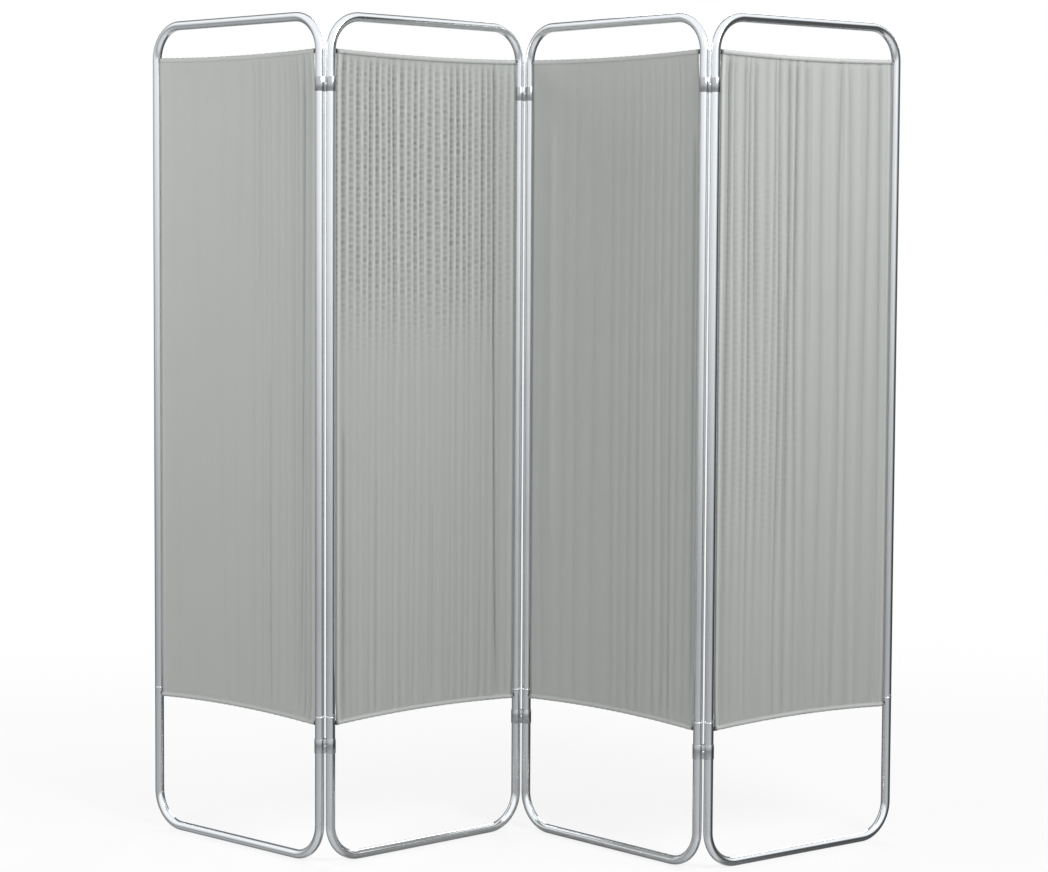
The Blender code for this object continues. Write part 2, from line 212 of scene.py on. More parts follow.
class NodeTree:
    """A material's, a world's or a modifier's node tree."""

    def __init__(self, tree):
        self.tree = tree
        self.tree.nodes.clear()

    def node(self, kind, sockets=None, output=0, **settings):
        """One node. Its settings are set first, because they decide which sockets it has."""
        made = self.tree.nodes.new(kind)
        for name, value in settings.items():
            setattr(made, name, value)
        for name, value in (sockets or {}).items():
            socket = self.find(made.inputs, name)
            if isinstance(value, Wire):
                self.tree.links.new(value.socket, socket)
            else:
                socket.default_value = value
        return Wire(self, self.find(made.outputs, output)) if made.outputs else None

    def find(self, sockets, name):
        if isinstance(name, int):
            return sockets[name]
        return next(socket for socket in sockets if socket.name == name and socket.enabled)

    def maths(self, operation, *values):
        return self.node("ShaderNodeMath", dict(enumerate(values)), operation=operation)

    def ramp(self, value, *stops):
        """A level that follows the value from stop to stop."""
        wire = self.node("ShaderNodeValToRGB", {"Fac": value}, "Color")
        elements = wire.socket.node.color_ramp.elements
        while len(elements) < len(stops):
            elements.new(1)
        for element, (position, level) in zip(elements, stops):
            element.position = position
            element.color = grey(level)
        return wire

    def blend(self, factor, first, second):
        """A colour that goes from the first to the second as the factor goes from 0 to 1."""
        sockets = {"Factor": factor, "A": first, "B": second}
        return self.node("ShaderNodeMix", sockets, "Result", data_type="RGBA", clamp_factor=True)

    def smooth(self, value, low, high, first=0.0, last=1.0):
        """A number that goes softly from first to last as the value goes from low to high."""
        limits = {"From Min": low, "From Max": high, "To Min": first, "To Max": last}
        soft = {"interpolation_type": "SMOOTHSTEP"}
        return self.node("ShaderNodeMapRange", {"Value": value, **limits}, "Result", **soft)

    def noise(self, vector, scale, detail=2.0):
        sockets = {"Vector": vector, "Scale": scale, "Detail": detail}
        return self.node("ShaderNodeTexNoise", sockets, "Fac")

    def bump(self, height, distance, strength):
        sockets = {"Height": height, "Distance": distance, "Strength": strength}
        return self.node("ShaderNodeBump", sockets, "Normal")

    def place(self):
        return self.node("ShaderNodeTexCoord", {}, "Object")

    def stretched(self, vector, scale):
        return self.node("ShaderNodeMapping", {"Vector": vector, "Scale": scale}, "Vector")

    def axis(self, vector, name):
        return self.node("ShaderNodeSeparateXYZ", {"Vector": vector}, name)

    def ray(self, kind):
        """1 for a kind of ray, such as those from the camera, and 0 for all others."""
        return self.node("ShaderNodeLightPath", {}, kind)

    def finish(self, sockets):
        """Ends a material's tree in one shader with these sockets."""
        shader = self.node("ShaderNodeBsdfPrincipled", sockets, "BSDF")
        self.node("ShaderNodeOutputMaterial", {"Surface": shader})


def new_material(name):
    made = bpy.data.materials.new(name)
    made.use_nodes = True
    return made, NodeTree(made.node_tree)


print("node helpers ready")

# %% [markdown]
# The screen stands on a plain pale floor in a white studio. The camera sees that studio
# as it is. Metal sees another one: brightest straight ahead and a little to the right,
# paler to the left, dark at the far right, light again straight behind, and darker below
# than above. Without dark surroundings a chromed tube in a white room has no edges. So the
# floor is a wide disc that fades to white for the camera, and opens to those surroundings
# for mirrored rays.

# %% Build the floor
floor_drop = 0.33 * MM
floor_radius = 9.0
floor_sides = 96
floor_fade = (0.7, 3.4)
fade_least = 0.80
floor_opening = (0.12, 0.70)
floor_level = 0.97
bounce_level = 0.40

floor_material, tree = new_material("studio_floor")
distance = tree.node("ShaderNodeVectorMath", {"Vector": tree.place()}, "Value", operation="LENGTH")
seen = tree.ray("Is Camera Ray")
pale = tree.blend(seen, grey(bounce_level), grey(floor_level))
matt = tree.node("ShaderNodeBsdfDiffuse", {"Color": pale}, "BSDF")
white = tree.node("ShaderNodeEmission", {"Color": grey(1)}, "Emission")
whiteness = seen * (fade_least + (1 - fade_least) * tree.smooth(distance, *floor_fade))
near = tree.node("ShaderNodeMixShader", {0: whiteness, 1: matt, 2: white}, "Shader")
opening = tree.ray("Is Glossy Ray") * tree.smooth(distance, *floor_opening)
open_air = tree.node("ShaderNodeBsdfTransparent", {}, "BSDF")
surface = tree.node("ShaderNodeMixShader", {0: opening, 1: near, 2: open_air}, "Shader")
tree.node("ShaderNodeOutputMaterial", {"Surface": surface})


def as_mesh(name, shape):
    """What was drawn in a bmesh, as a mesh."""
    mesh = bpy.data.meshes.new(name)
    shape.to_mesh(mesh)
    shape.free()
    return mesh


shape = bmesh.new()
bmesh.ops.create_circle(shape, cap_ends=True, radius=floor_radius, segments=floor_sides)
bmesh.ops.translate(shape, verts=shape.verts, vec=(0, 0, -floor_drop))
floor = link_new("floor", as_mesh("floor", shape))
floor.data.materials.append(floor_material)
floor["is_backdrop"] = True
print("floor of", floor_radius, "m radius, fading to white at", floor_fade[1], "m")

# %% Light the studio
ambient_level = 0.10
ceiling_levels = (1.10, 0.14)
ceiling_depths = (0.20, 0.70)
ceiling_rises = (0.16, 0.42)
brightest_share = 1.50
brightest_rise = 0.10
mirrored_tint = (0.965, 0.99, 1.01, 1)

world = bpy.data.worlds.new("studio")
world.use_nodes = True
bpy.context.scene.world = world
tree = NodeTree(world.node_tree)
direction = tree.node("ShaderNodeTexCoord", {}, "Generated")
to_right, to_back, upwards = (tree.axis(direction, name) for name in "XYZ")
# 0 and 1 are straight back, 0.25 is left, 0.5 towards the viewer and 0.75 right.
around = 0.5 + tree.maths("ARCTAN2", to_right, -to_back) / (2 * pi)
belt = tree.ramp(
    around,
    (0.0, 0.62), (0.04, 0.50), (0.09, 0.10), (0.20, 0.34), (0.34, 0.62), (0.50, 0.72),
    (0.59, 0.80), (0.655, 0.56), (0.70, 0.10), (0.91, 0.08), (0.96, 0.36), (1.0, 0.62),
)
# 0 is straight down and 0.91 level: the floor glows, the foot of the room is dim, and from
# there it grows brighter to eye level.
rise = (upwards + 1) / (brightest_rise + 1)
shade = brightest_share * tree.ramp(
    rise,
    (0.0, 0.75), (0.45, 0.75), (0.64, 0.52), (0.72, 0.50), (0.758, 0.37), (0.841, 0.58),
    (0.964, 1.0),
)
overhead = tree.smooth(upwards, *ceiling_rises)
ceiling = tree.smooth(to_back, *ceiling_depths, *ceiling_levels)
surroundings = belt * shade * (1 - overhead) + ceiling * overhead
mirrored = tree.ray("Is Glossy Ray")
unseen = mirrored * surroundings + (1 - mirrored) * ambient_level
level = tree.maths("MAXIMUM", tree.ray("Is Camera Ray"), unseen)
cool = tree.blend(mirrored, grey(1), mirrored_tint)
sky = tree.node("ShaderNodeBackground", {"Color": cool, "Strength": level}, "Background")
tree.node("ShaderNodeOutputWorld", {"Surface": sky})


def softbox(name, azimuth, distance, height, size, power, aim_height, mirrored=False):
    """A square soft light at an azimuth seen from above, 0 at the viewer, + to the right.
    Metal mirrors only the lights that are meant to glint in it."""
    data = bpy.data.lights.new(name, "AREA")
    data.shape = "RECTANGLE"
    data.size, data.size_y = size
    data.energy = power
    light = link_new(name, data)
    turn = radians(azimuth)
    light.location = (distance * sin(turn), -distance * cos(turn), height)
    aim = Vector((0, 0, aim_height)) - light.location
    light.rotation_euler = aim.to_track_quat("-Z", "Y").to_euler()
    light.visible_glossy = mirrored


softbox("key_light", 42, 2.9, 2.9, (1.4, 1.4), 64, 1.5, mirrored=True)
softbox("side_light", 72, 3.0, 2.4, (1.4, 1.4), 17, 1.3)
softbox("left_fill", -45, 3.6, 3.0, (1.6, 1.6), 37, 1.5)
softbox("far_left_fill", -88, 2.7, 2.1, (1.2, 1.2), 19, 1.4)
softbox("low_fill", -30, 4.4, 0.9, (1.8, 1.2), 35, 0.8)
softbox("back_light", 165, 4.2, 3.0, (2.2, 1.8), 75, 1.0, mirrored=True)
softbox("back_fill", -150, 4.4, 2.2, (2.2, 1.8), 60, 1.0)

# %% [markdown]
# The frames are bright chrome over drawn steel tube. Chrome is almost a mirror, so its look
# is mostly what it reflects. What makes it real is small: hazy patches where hands take
# hold, and faint lines along the tube from drawing and polishing.

# %% Make the chrome of the tubes
haze_scale = 9.0
line_scale = 900.0
line_stretch = (1, 1, 0.06)
line_depth = 0.02 * MM
clear_roughness = 0.09
haze_roughness = 0.09

chrome, tree = new_material("bright_chrome")
haze = tree.noise(tree.place(), haze_scale, 4.0)
lines = tree.noise(tree.stretched(tree.place(), line_stretch), line_scale)
tree.finish({
    "Base Color": tree.blend(haze, (0.80, 0.82, 0.84, 1), (0.88, 0.89, 0.895, 1)),
    "Metallic": 1.0,
    "Roughness": clear_roughness + haze_roughness * haze,
    "Normal": tree.bump(lines, line_depth, 0.25),
})
print("made", chrome.name)

# %% [markdown]
# The hinge bands are plated strip, rolled to shape: greyer than the tubes, with brush marks
# along the strip. Rods and hooks are plated wire. The sleeves inside the stiles are dull
# steel. All three share one recipe with other levels, so one function makes them.

# %% Make the plated strip and wire finishes
cloud_scale = 60.0
cloud_share = 0.7
grain_roughness = 0.12


def plated_metal(name, dark, light, roughness, grain_scale, grain_stretch, grain_depth):
    material, tree = new_material(name)
    cloudy = tree.noise(tree.place(), cloud_scale, 5.0)
    grain = tree.noise(tree.stretched(tree.place(), grain_stretch), grain_scale, 3.0)
    tree.finish({
        "Base Color": tree.blend(cloudy * cloud_share + grain * (1 - cloud_share), dark, light),
        "Metallic": 1.0,
        "Roughness": roughness + grain_roughness * grain,
        "Normal": tree.bump(grain, grain_depth, 0.5),
    })
    print("made", name)
    return material


along_strip = (0.08, 0.08, 1)
along_tube = (1, 1, 0.1)
evenly = (1, 1, 1)
band_plate = plated_metal("plated_strip", (0.38, 0.39, 0.40, 1), (0.60, 0.61, 0.62, 1),
                          0.12, 700.0, along_strip, 0.02 * MM)
wire_steel = plated_metal("plated_wire", (0.52, 0.54, 0.56, 1), (0.74, 0.76, 0.78, 1),
                          0.16, 500.0, evenly, 0.02 * MM)
sleeve_steel = plated_metal("sleeve_steel", (0.30, 0.30, 0.31, 1), (0.48, 0.48, 0.48, 1),
                            0.34, 400.0, along_tube, 0.03 * MM)

# %% [markdown]
# The curtains are a light grey, matt woven cloth that was put up still creased: between
# the gathers runs a ladder of small dents, as a crinkled cloth keeps them, strongest in the
# upper half. The pattern follows the cloth, not the room, so it reads the cloth's own UV
# map, which is laid out in metres. Five attributes come with the mesh: "fold" counts the
# folds and "rung" counts the dents down each valley, so that shade is painted just where
# the mesh is pressed in and a highlight on the ridges between, "pucker" says how deep the
# dents are, "valley" paints shade into the folds' bottoms, the creases, the seam under the
# header's pocket and the cloth's side edges beside the tubes, and "hem" paints light on the
# rod pockets and makes the side hems lighter.

# %% Make the cloth and its thread
yarn_pitch = 0.9 * MM
dent_pitch = 13.5 * MM
dent_edges = (0.82, 0.48)
rung_edges = (0.40, 0.18)
rung_least = 0.12
crinkle_scale = 160.0
dent_fray = 0.35
rung_fray = 0.3
slub_scale = 700.0
slub_stretch = (1, 0.03, 1)
slub_share = 0.45
patch_scale = 5.0
relief_depth = 0.35 * MM
relief_shares = {"yarn": 0.12, "slub": 0.25, "crinkle": 1.2, "dent": 0.8}
# Painted light: a highlight on the ridges between the dents and light on the rod pockets; the side
# hems are made lighter too.
painted_light_shares = {"hem": 0.75, "ridge": 0.60}
# Painted shade: in the dents, the folds' bottoms, the creases, under the header's pocket and along
# the side edges beside the tubes.
painted_shade_shares = {"dent": 0.33, "valley": 0.60}
cloth_light = (0.548, 0.564, 0.546, 1)
cloth_dark = (0.503, 0.521, 0.504, 1)
# The colour of the painted shade, then the colour of the painted light and highlights.
cloth_painted_shade = (0.165, 0.176, 0.172, 1)
cloth_painted_light = (0.735, 0.742, 0.735, 1)

cloth, tree = new_material("grey_cloth")
uv = tree.node("ShaderNodeUVMap", {}, "UV", uv_map="UVMap")
fold, rung, pucker, valley, hem = (
    tree.node("ShaderNodeAttribute", {}, "Fac", attribute_name=name)
    for name in ("fold", "rung", "pucker", "valley", "hem")
)

# A dent lies about a valley's line, between two rungs. Noise frays its outline.
crinkle = tree.noise(uv, crinkle_scale, 3.0) - 0.5
nearest = tree.maths("FLOOR", fold + 0.5)
from_valley = tree.maths("ABSOLUTE", fold - nearest) * 2 + crinkle * dent_fray
between = tree.smooth(from_valley, *dent_edges)
below_rung = tree.maths("FRACT", rung + crinkle * rung_fray)
from_middle = tree.maths("ABSOLUTE", below_rung - 0.5)
gap = tree.smooth(from_middle, *rung_edges)
# The dent's mask sinks the bump and, below, paints shade into the dent.
dent = between * (rung_least + (1 - rung_least) * gap) * pucker
# A painted highlight on the ridges between the dents.
ridge_painted_highlight = (1 - between) * pucker

yarns = (tree.axis(uv, name) * (2 * pi / yarn_pitch) for name in "XY")
warp, weft = (tree.maths("SINE", yarn) for yarn in yarns)
slub = tree.noise(tree.stretched(uv, slub_stretch), slub_scale)
patches = tree.noise(uv, patch_scale, 4.0)
tone = patches * (1 - slub_share) + slub * slub_share
base = tree.blend(tone, cloth_dark, cloth_light)
# The painted light and highlights, then the painted shade, blended over the cloth's own tone.
lightness = painted_light_shares["hem"] * hem + painted_light_shares["ridge"] * ridge_painted_highlight
with_painted_light = tree.blend(lightness, base, cloth_painted_light)
darkness = painted_shade_shares["dent"] * dent + painted_shade_shares["valley"] * valley
with_painted_shade = tree.blend(darkness, with_painted_light, cloth_painted_shade)
weave = warp * weft * relief_shares["yarn"] + slub * relief_shares["slub"]
relief = weave + crinkle * pucker * relief_shares["crinkle"] - dent * relief_shares["dent"]
tree.finish({
    "Base Color": with_painted_shade,
    "Roughness": 0.80 + 0.12 * slub,
    "Normal": tree.bump(relief, relief_depth, 0.8),
    "Specular IOR Level": 0.25,
})

thread, tree = new_material("hem_thread")
twist = tree.noise(tree.place(), 1500.0)
tree.finish({
    "Base Color": tree.blend(twist, (0.48, 0.49, 0.485, 1), (0.66, 0.67, 0.665, 1)),
    "Roughness": 0.65 + 0.2 * twist,
})
print("made", cloth.name, "and", thread.name)

# %% [markdown]
# Every finished piece goes the same last steps: its mesh is turned into the row's frame,
# given a material and smooth shading, and hung on the body that it moves with. Smooth
# shading keeps a crisp line only where two faces meet at more than forty degrees.

# %% Turn a mesh into a piece of the screen
smooth_angle = radians(40)


def mesh_of(name, fill):
    """A mesh that fill draws into a bmesh, with its normals turned outwards."""
    shape = bmesh.new()
    fill(shape)
    bmesh.ops.recalc_face_normals(shape, faces=shape.faces)
    return as_mesh(name, shape)


def joined(name, *meshes):
    """One mesh of several, each keeping its own shells."""
    shape = bmesh.new()
    for mesh in meshes:
        shape.from_mesh(mesh)
    return as_mesh(name, shape)


def applied(obj):
    """The plain mesh that the object's modifiers give. The object itself is removed."""
    graph = bpy.context.evaluated_depsgraph_get()
    mesh = bpy.data.meshes.new_from_object(obj.evaluated_get(graph))
    bpy.data.objects.remove(obj)
    return mesh


def dress(kind, number, mesh, nodes, material, group="panel", height=0.0):
    """A finished piece that moves with a panel or a hinge and stands for some nodes there."""
    name, body = f"{kind}_{number}", f"{group}_{number}"
    mesh.transform(place_of[body] @ Matrix.Translation((0, 0, height)))
    mesh.materials.clear()
    mesh.materials.append(material)
    mesh.shade_smooth()
    mesh.set_sharp_from_angle(angle=smooth_angle)
    piece = link_new(name, mesh)
    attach(piece, body)
    if nodes:
        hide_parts(*(f"{node}_{number}" for node in nodes))
    mesh.calc_loop_triangles()
    print(f"{name}: {len(mesh.loop_triangles)} triangles on {body}")
    return piece


print("pieces are smoothed up to", round(degrees(smooth_angle)), "degrees")

# %% [markdown]
# A frame tube, a rod and a hook are the same thing at three sizes: round stock along a line
# with rounded corners. A node tree makes all of them: the base mesh is the line with its
# sharp corners, Fillet Curve rounds them, and Curve to Mesh draws the section along it. A
# bevelled curve would do too, but here the radius and the bend stay named inputs.

# %% Build the node tree that bends round stock
class Growth:
    """A Geometry Nodes tree with named inputs, used to turn lines into a mesh."""

    def __init__(self, name, **kinds):
        self.group = bpy.data.node_groups.new(name, "GeometryNodeTree")
        self.tree = NodeTree(self.group)
        new_socket = self.group.interface.new_socket
        self.keys = {}
        for label, kind in {"Geometry": "Geometry", **kinds}.items():
            made = new_socket(name=label, in_out="INPUT", socket_type=f"NodeSocket{kind}")
            self.keys[label] = made.identifier
        new_socket(name="Geometry", in_out="OUTPUT", socket_type="NodeSocketGeometry")

    def given(self, label):
        return self.tree.node("NodeGroupInput", {}, label)

    def curve(self):
        """The lines of the base mesh, as curves."""
        lines = {"Mesh": self.given("Geometry")}
        return self.tree.node("GeometryNodeMeshToCurve", lines, "Curve")

    def end(self, geometry):
        real = self.tree.node("GeometryNodeRealizeInstances", {"Geometry": geometry}, "Geometry")
        finish = {"Geometry": real, "Material": self.given("material")}
        coated = self.tree.node("GeometryNodeSetMaterial", finish, "Geometry")
        self.tree.node("NodeGroupOutput", {"Geometry": coated})

    def grow(self, name, lines, **values):
        """The plain mesh that the tree makes along separate lines of points."""
        points, edges = [], []
        for line in lines:
            first = len(points)
            points.extend(line)
            edges.extend((step, step + 1) for step in range(first, len(points) - 1))
        base = bpy.data.meshes.new(name)
        base.from_pydata(points, edges, [])
        obj = link_new(name, base)
        modifier = obj.modifiers.new(name, "NODES")
        modifier.node_group = self.group
        for label, value in values.items():
            modifier[self.keys[label]] = value
        return applied(obj)


bent_stock = Growth(
    "bent_stock", radius="Float", bend="Float", bend_steps="Int", sides="Int", material="Material"
)
tree = bent_stock.tree
corners = {
    "Curve": bent_stock.curve(), "Count": bent_stock.given("bend_steps"),
    "Radius": bent_stock.given("bend"), "Limit Radius": True,
}
rounded = tree.node("GeometryNodeFilletCurve", corners, "Curve", mode="POLY")
circle = {"Resolution": bent_stock.given("sides"), "Radius": bent_stock.given("radius")}
section = tree.node("GeometryNodeCurvePrimitiveCircle", circle, "Curve", mode="RADIUS")
sweep = {"Curve": rounded, "Profile Curve": section, "Fill Caps": True}
bent_stock.end(tree.node("GeometryNodeCurveToMesh", sweep, "Mesh"))
print("bent stock inputs:", ", ".join(bent_stock.keys))

# %% [markdown]
# Each panel has two U tubes, one above and one below, that meet in both stiles. The end of
# the upper tube is rolled over into a low bead, which shows as a ring at the joint. The
# bead is a turned profile, so a small function that spins a profile round an axis makes
# it, and later the buttons, eyes and rivets too. It needs another that bridges two rings.

# %% Bend the frames and roll their ends
tube_sides = 40
bend_steps = 18
joint_gap = 0.3 * MM
bead_height = 3.6 * MM
bead_rise = 0.55 * MM
bead_bite = 0.2 * MM
bead_steps = 8


def bridge(shape, first, second):
    """Faces between two rings of corners. Either ring may be a single pole."""
    sides = max(len(first), len(second))
    for side in range(sides):
        after = (side + 1) % sides
        if len(first) == 1:
            corners = (first[0], second[side], second[after])
        elif len(second) == 1:
            corners = (first[side], first[after], second[0])
        else:
            corners = (first[side], first[after], second[after], second[side])
        shape.faces.new(corners)


def turn_profile(shape, profile, sides, place):
    """Spins (radius, height) points round Z into a closed skin. A radius of 0 is a pole."""
    rings = []
    for radius, height in profile:
        turns = [2 * pi * side / sides for side in range(sides if radius else 1)]
        points = [Vector((radius * cos(turn), radius * sin(turn), height)) for turn in turns]
        rings.append([shape.verts.new(place @ point) for point in points])
    pairs = list(zip(rings, rings[1:]))
    if len(rings[0]) > 1 or len(rings[-1]) > 1:
        pairs.append((rings[-1], rings[0]))
    for first, second in pairs:
        bridge(shape, first, second)


def end_beads(shape):
    """On both stiles a bead, straight inside and half an ellipse outside."""
    inner = tube_radius - bead_bite
    profile = [(inner, 0), (inner, bead_height)]
    for step in range(bead_steps + 1):
        turn = pi * step / bead_steps
        radius = inner + bead_rise * sin(turn) + bead_bite
        profile.append((radius, bead_height / 2 * (1 + cos(turn))))
    for side in SIDES:
        place = Matrix.Translation((side * stile_place, 0, joint_height + joint_gap / 2))
        turn_profile(shape, profile, tube_sides, place)


def bent_frame(name, leg_end, rail):
    left, right = -stile_place, stile_place
    line = [(left, 0, leg_end), (left, 0, rail), (right, 0, rail), (right, 0, leg_end)]
    return bent_stock.grow(name, [line], radius=tube_radius, bend=bend_radius,
                           bend_steps=bend_steps, sides=tube_sides, material=chrome)


for number in PANELS:
    beads = mesh_of("beads", end_beads)
    upper = bent_frame("upper_tube", joint_height + joint_gap / 2, frame_top - axis_lift)
    lower = bent_frame("lower_tube", joint_height - joint_gap / 2, axis_lift)
    upper = joined("upper_tube", upper, beads)
    dress("upper_tube", number, upper, ["upper_frame"], chrome)
    dress("lower_tube", number, lower, ["lower_frame"], chrome)

# %% [markdown]
# Inside each joint sits a steel sleeve with a sprung button, which snaps into a hole just
# above the bead and locks the two tubes together. Only the button's dome and the rim of
# its hole can be seen. The sleeve is made all the same, because it shows the moment that
# the two tubes are pulled apart.

# %% Make the sleeves and their buttons
sleeve_radius = 7.6 * MM
sleeve_wall = 1.3 * MM
sleeve_half = 40 * MM
button_radius = 1.75 * MM
button_rise = 8 * MM
button_proud = 0.55 * MM
button_sides = 20
button_dome_share = 0.5
button_steps = 6
rim_radius = 2.3 * MM
rim_proud = 0.16 * MM
rim_gap = 0.1 * MM
rim_slope = 0.15 * MM
rim_sunk = 0.6 * MM


def dome(radius, base, rise, steps):
    """A domed end's profile, from its foot to its pole."""
    turns = [pi / 2 * step / steps for step in range(steps)]
    return [(radius * cos(turn), base + rise * sin(turn)) for turn in turns] + [(0, base + rise)]


def joint_sleeves(shape):
    inside = sleeve_radius - sleeve_wall
    wall = [(inside, -sleeve_half), (inside, sleeve_half),
            (sleeve_radius, sleeve_half), (sleeve_radius, -sleeve_half)]
    root = sleeve_radius - sleeve_wall / 2
    tip = tube_radius + button_proud
    rise = button_radius * button_dome_share
    button = [(0, root), (button_radius, root)]
    button += dome(button_radius, tip - rise, rise, button_steps)
    rim = [
        (button_radius + rim_gap, tube_radius - rim_sunk),
        (button_radius + rim_gap, tube_radius),
        (rim_radius - rim_slope, tube_radius + rim_proud),
        (rim_radius, tube_radius - rim_sunk),
    ]
    forwards = Matrix.Translation((0, 0, button_rise)) @ Matrix.Rotation(pi / 2, 4, "X")
    for side in SIDES:
        stile = Matrix.Translation((side * stile_place, 0, joint_height))
        turn_profile(shape, wall, tube_sides, stile)
        turn_profile(shape, button, button_sides, stile @ forwards)
        turn_profile(shape, rim, button_sides, stile @ forwards)


for number in PANELS:
    dress("button_sleeves", number, mesh_of("sleeves", joint_sleeves),
          ["joint_sleeve_left", "joint_sleeve_right"], sleeve_steel)

# %% [markdown]
# The curtain hangs on a thin round rod, and a second rod holds its hem down. The cloth
# pulls them towards each other: the top one sags a little, the bottom one arches up. Each
# rod ends in a flattened eye that drops over the turned-up tip of a wire hook.

# %% Make the bowed rods
rod_radius = 2.5 * MM
rod_sides = 20
rod_points = 41
top_sag = 4.5 * MM
bottom_arch = 7.5 * MM
eye_from_stile = 9 * MM
eye_place = stile_place - axis_lift - eye_from_stile
eye_radius = 3.6 * MM
eye_hole = 1.7 * MM
eye_half = 1.0 * MM
eye_round = 0.45 * MM
eye_sides = 28
neck_length = 9 * MM
neck_wide = 3.0 * MM
neck_swell = 0.7
neck_in_eye = 0.8 * MM
neck_flat_share = 0.95
neck_full_share = 0.99
bar_in_neck = 2.5 * MM
neck_steps = 6


def bow(x):
    """How much of the full bow a rod has at x: none at its eyes, all of it in the middle."""
    return 1 - (x / eye_place) ** 2


def both_ways(profile):
    """A profile and its mirror image below it."""
    return profile + [(radius, -height) for radius, height in reversed(profile)]


def neck(shape, side, height):
    """The stretch where the round rod is hammered flat into its eye."""
    start = side * (eye_place - eye_radius + neck_in_eye)
    flat, full = eye_half * neck_flat_share, rod_radius * neck_full_share
    rings = []
    for step in range(neck_steps + 1):
        share = step / neck_steps
        wide = neck_wide + (full - neck_wide) * share
        high = flat + (full - flat) * share**neck_swell
        x = start - side * neck_length * share
        turns = [2 * pi * corner / rod_sides for corner in range(rod_sides)]
        points = [(x, wide * cos(turn), height(x) + high * sin(turn)) for turn in turns]
        rings.append([shape.verts.new(point) for point in points])
    for first, second in zip(rings, rings[1:]):
        bridge(shape, first, second)
    shape.faces.new(rings[0])
    shape.faces.new(rings[-1])


def rod_mesh(name, level, bow_height):
    def height(x):
        return level + bow_height * bow(x)

    def ends(shape):
        eye = both_ways([
            (eye_hole, -eye_half + eye_round),
            (eye_hole + eye_round, -eye_half),
            (eye_radius - eye_round, -eye_half),
            (eye_radius, -eye_half + eye_round),
        ])
        for side in SIDES:
            turn_profile(shape, eye, eye_sides, Matrix.Translation((side * eye_place, 0, level)))
            neck(shape, side, height)

    end = eye_place - eye_radius - neck_length + bar_in_neck
    path = [(x, 0, height(x)) for x in np.linspace(-end, end, rod_points)]
    bar = bent_stock.grow(name, [path], radius=rod_radius, bend=0.0, bend_steps=1,
                          sides=rod_sides, material=wire_steel)
    return joined(name, bar, mesh_of("rod_ends", ends))


rods = {"top_rod": (top_rod_height, -top_sag), "bottom_rod": (bottom_rod_height, bottom_arch)}
for number in PANELS:
    for name, (level, bow_height) in rods.items():
        rod = rod_mesh(name, level, bow_height)
        dress(f"{name}_bar", number, rod, [name], wire_steel)

# %% [markdown]
# The hooks are bent wire, riveted into the stile through a small ferrule. The same node
# tree bends all four of a panel in one go, because it works on as many lines as the base
# mesh holds. Their ends get a rounded cap, as cut and tumbled wire has.

# %% Bend the hooks
hook_radius = 1.2 * MM
hook_bend = 2.4 * MM
hook_drop = 2.5 * MM
hook_tip = 2.4 * MM
hook_in_stile = 1.0 * MM
hook_sides = 14
hook_steps = 8
cap_sunk = 0.2 * MM
cap_steps = 5
ferrule_radius = 2.9 * MM
ferrule_foot = 0.2 * MM
ferrule_wall = 1.2 * MM
ferrule_rise = 1.5 * MM
ferrule_shoulder = 0.3 * MM
ferrule_lip = 0.7 * MM
ferrule_top_share = 0.8
ferrule_bite_share = 0.9
ferrule_sides = 24


def hook_lines():
    lines = []
    for level in (top_rod_height, bottom_rod_height):
        for side in SIDES:
            root = side * (stile_place - tube_radius + hook_in_stile)
            tip, foot = side * eye_place, level - hook_drop
            lines.append([(root, 0, foot), (tip, 0, foot), (tip, 0, level + hook_tip)])
    return lines


def hook_ends(shape):
    cap = [(0, -cap_sunk)] + dome(hook_radius, 0, hook_radius, cap_steps)
    inside = hook_radius * ferrule_bite_share
    ferrule = [
        (inside, ferrule_foot),
        (ferrule_radius, ferrule_foot),
        (ferrule_radius, ferrule_wall),
        (ferrule_radius * ferrule_top_share, ferrule_rise + ferrule_shoulder),
        (inside, ferrule_rise + ferrule_lip),
    ]
    for start, _, end in hook_lines():
        turn_profile(shape, cap, hook_sides, Matrix.Translation(end))
        inwards = Matrix.Rotation(pi / 2 if start[0] < 0 else -pi / 2, 4, "Y")
        turn_profile(shape, ferrule, ferrule_sides, Matrix.Translation(start) @ inwards)


for number in PANELS:
    wires = bent_stock.grow("hooks", hook_lines(), radius=hook_radius, bend=hook_bend,
                            bend_steps=hook_steps, sides=hook_sides, material=wire_steel)
    hooks = joined("hooks", wires, mesh_of("hook_ends", hook_ends))
    nodes = [f"{level}_hook_{side}" for level in ("top", "bottom") for side in ("left", "right")]
    dress("rod_hooks", number, hooks, nodes, wire_steel)

# %% [markdown]
# A hinge band is one strip of metal rolled round both stiles and drawn in between them,
# where a rivet closes it. Seen from above it is a figure of eight with an open waist. Its
# outline is four arcs that flow into each other, so the waist's radius follows from the
# loops: their centres and the waist's make a right triangle. The thickness is added by
# drawing the outline twice, and Bevel breaks the edges.

# %% Roll the hinge bands
from_panel = place_of["hinge_1"].inverted() @ place_of["panel_2"]
hinge_half = (from_panel @ Vector((-stile_place, 0, 0))).x
band_outer = 10.55 * MM
band_thickness = 0.8 * MM
waist_dip = 4.65 * MM
loop_steps = 56
waist_steps = 16
edge_break = 0.22 * MM
waist_face = band_outer - waist_dip
waist_radius = (hinge_half**2 + waist_face**2 - band_outer**2) / (2 * waist_dip)
waist_centre = waist_face + waist_radius
rivet_head = 2.5 * MM
rivet_rise = 1.5 * MM
rivet_shank = 1.2 * MM
rivet_gap = 0.25 * MM
rivet_sides = 24
rivet_edge_share = 0.3
rivet_steps = 7


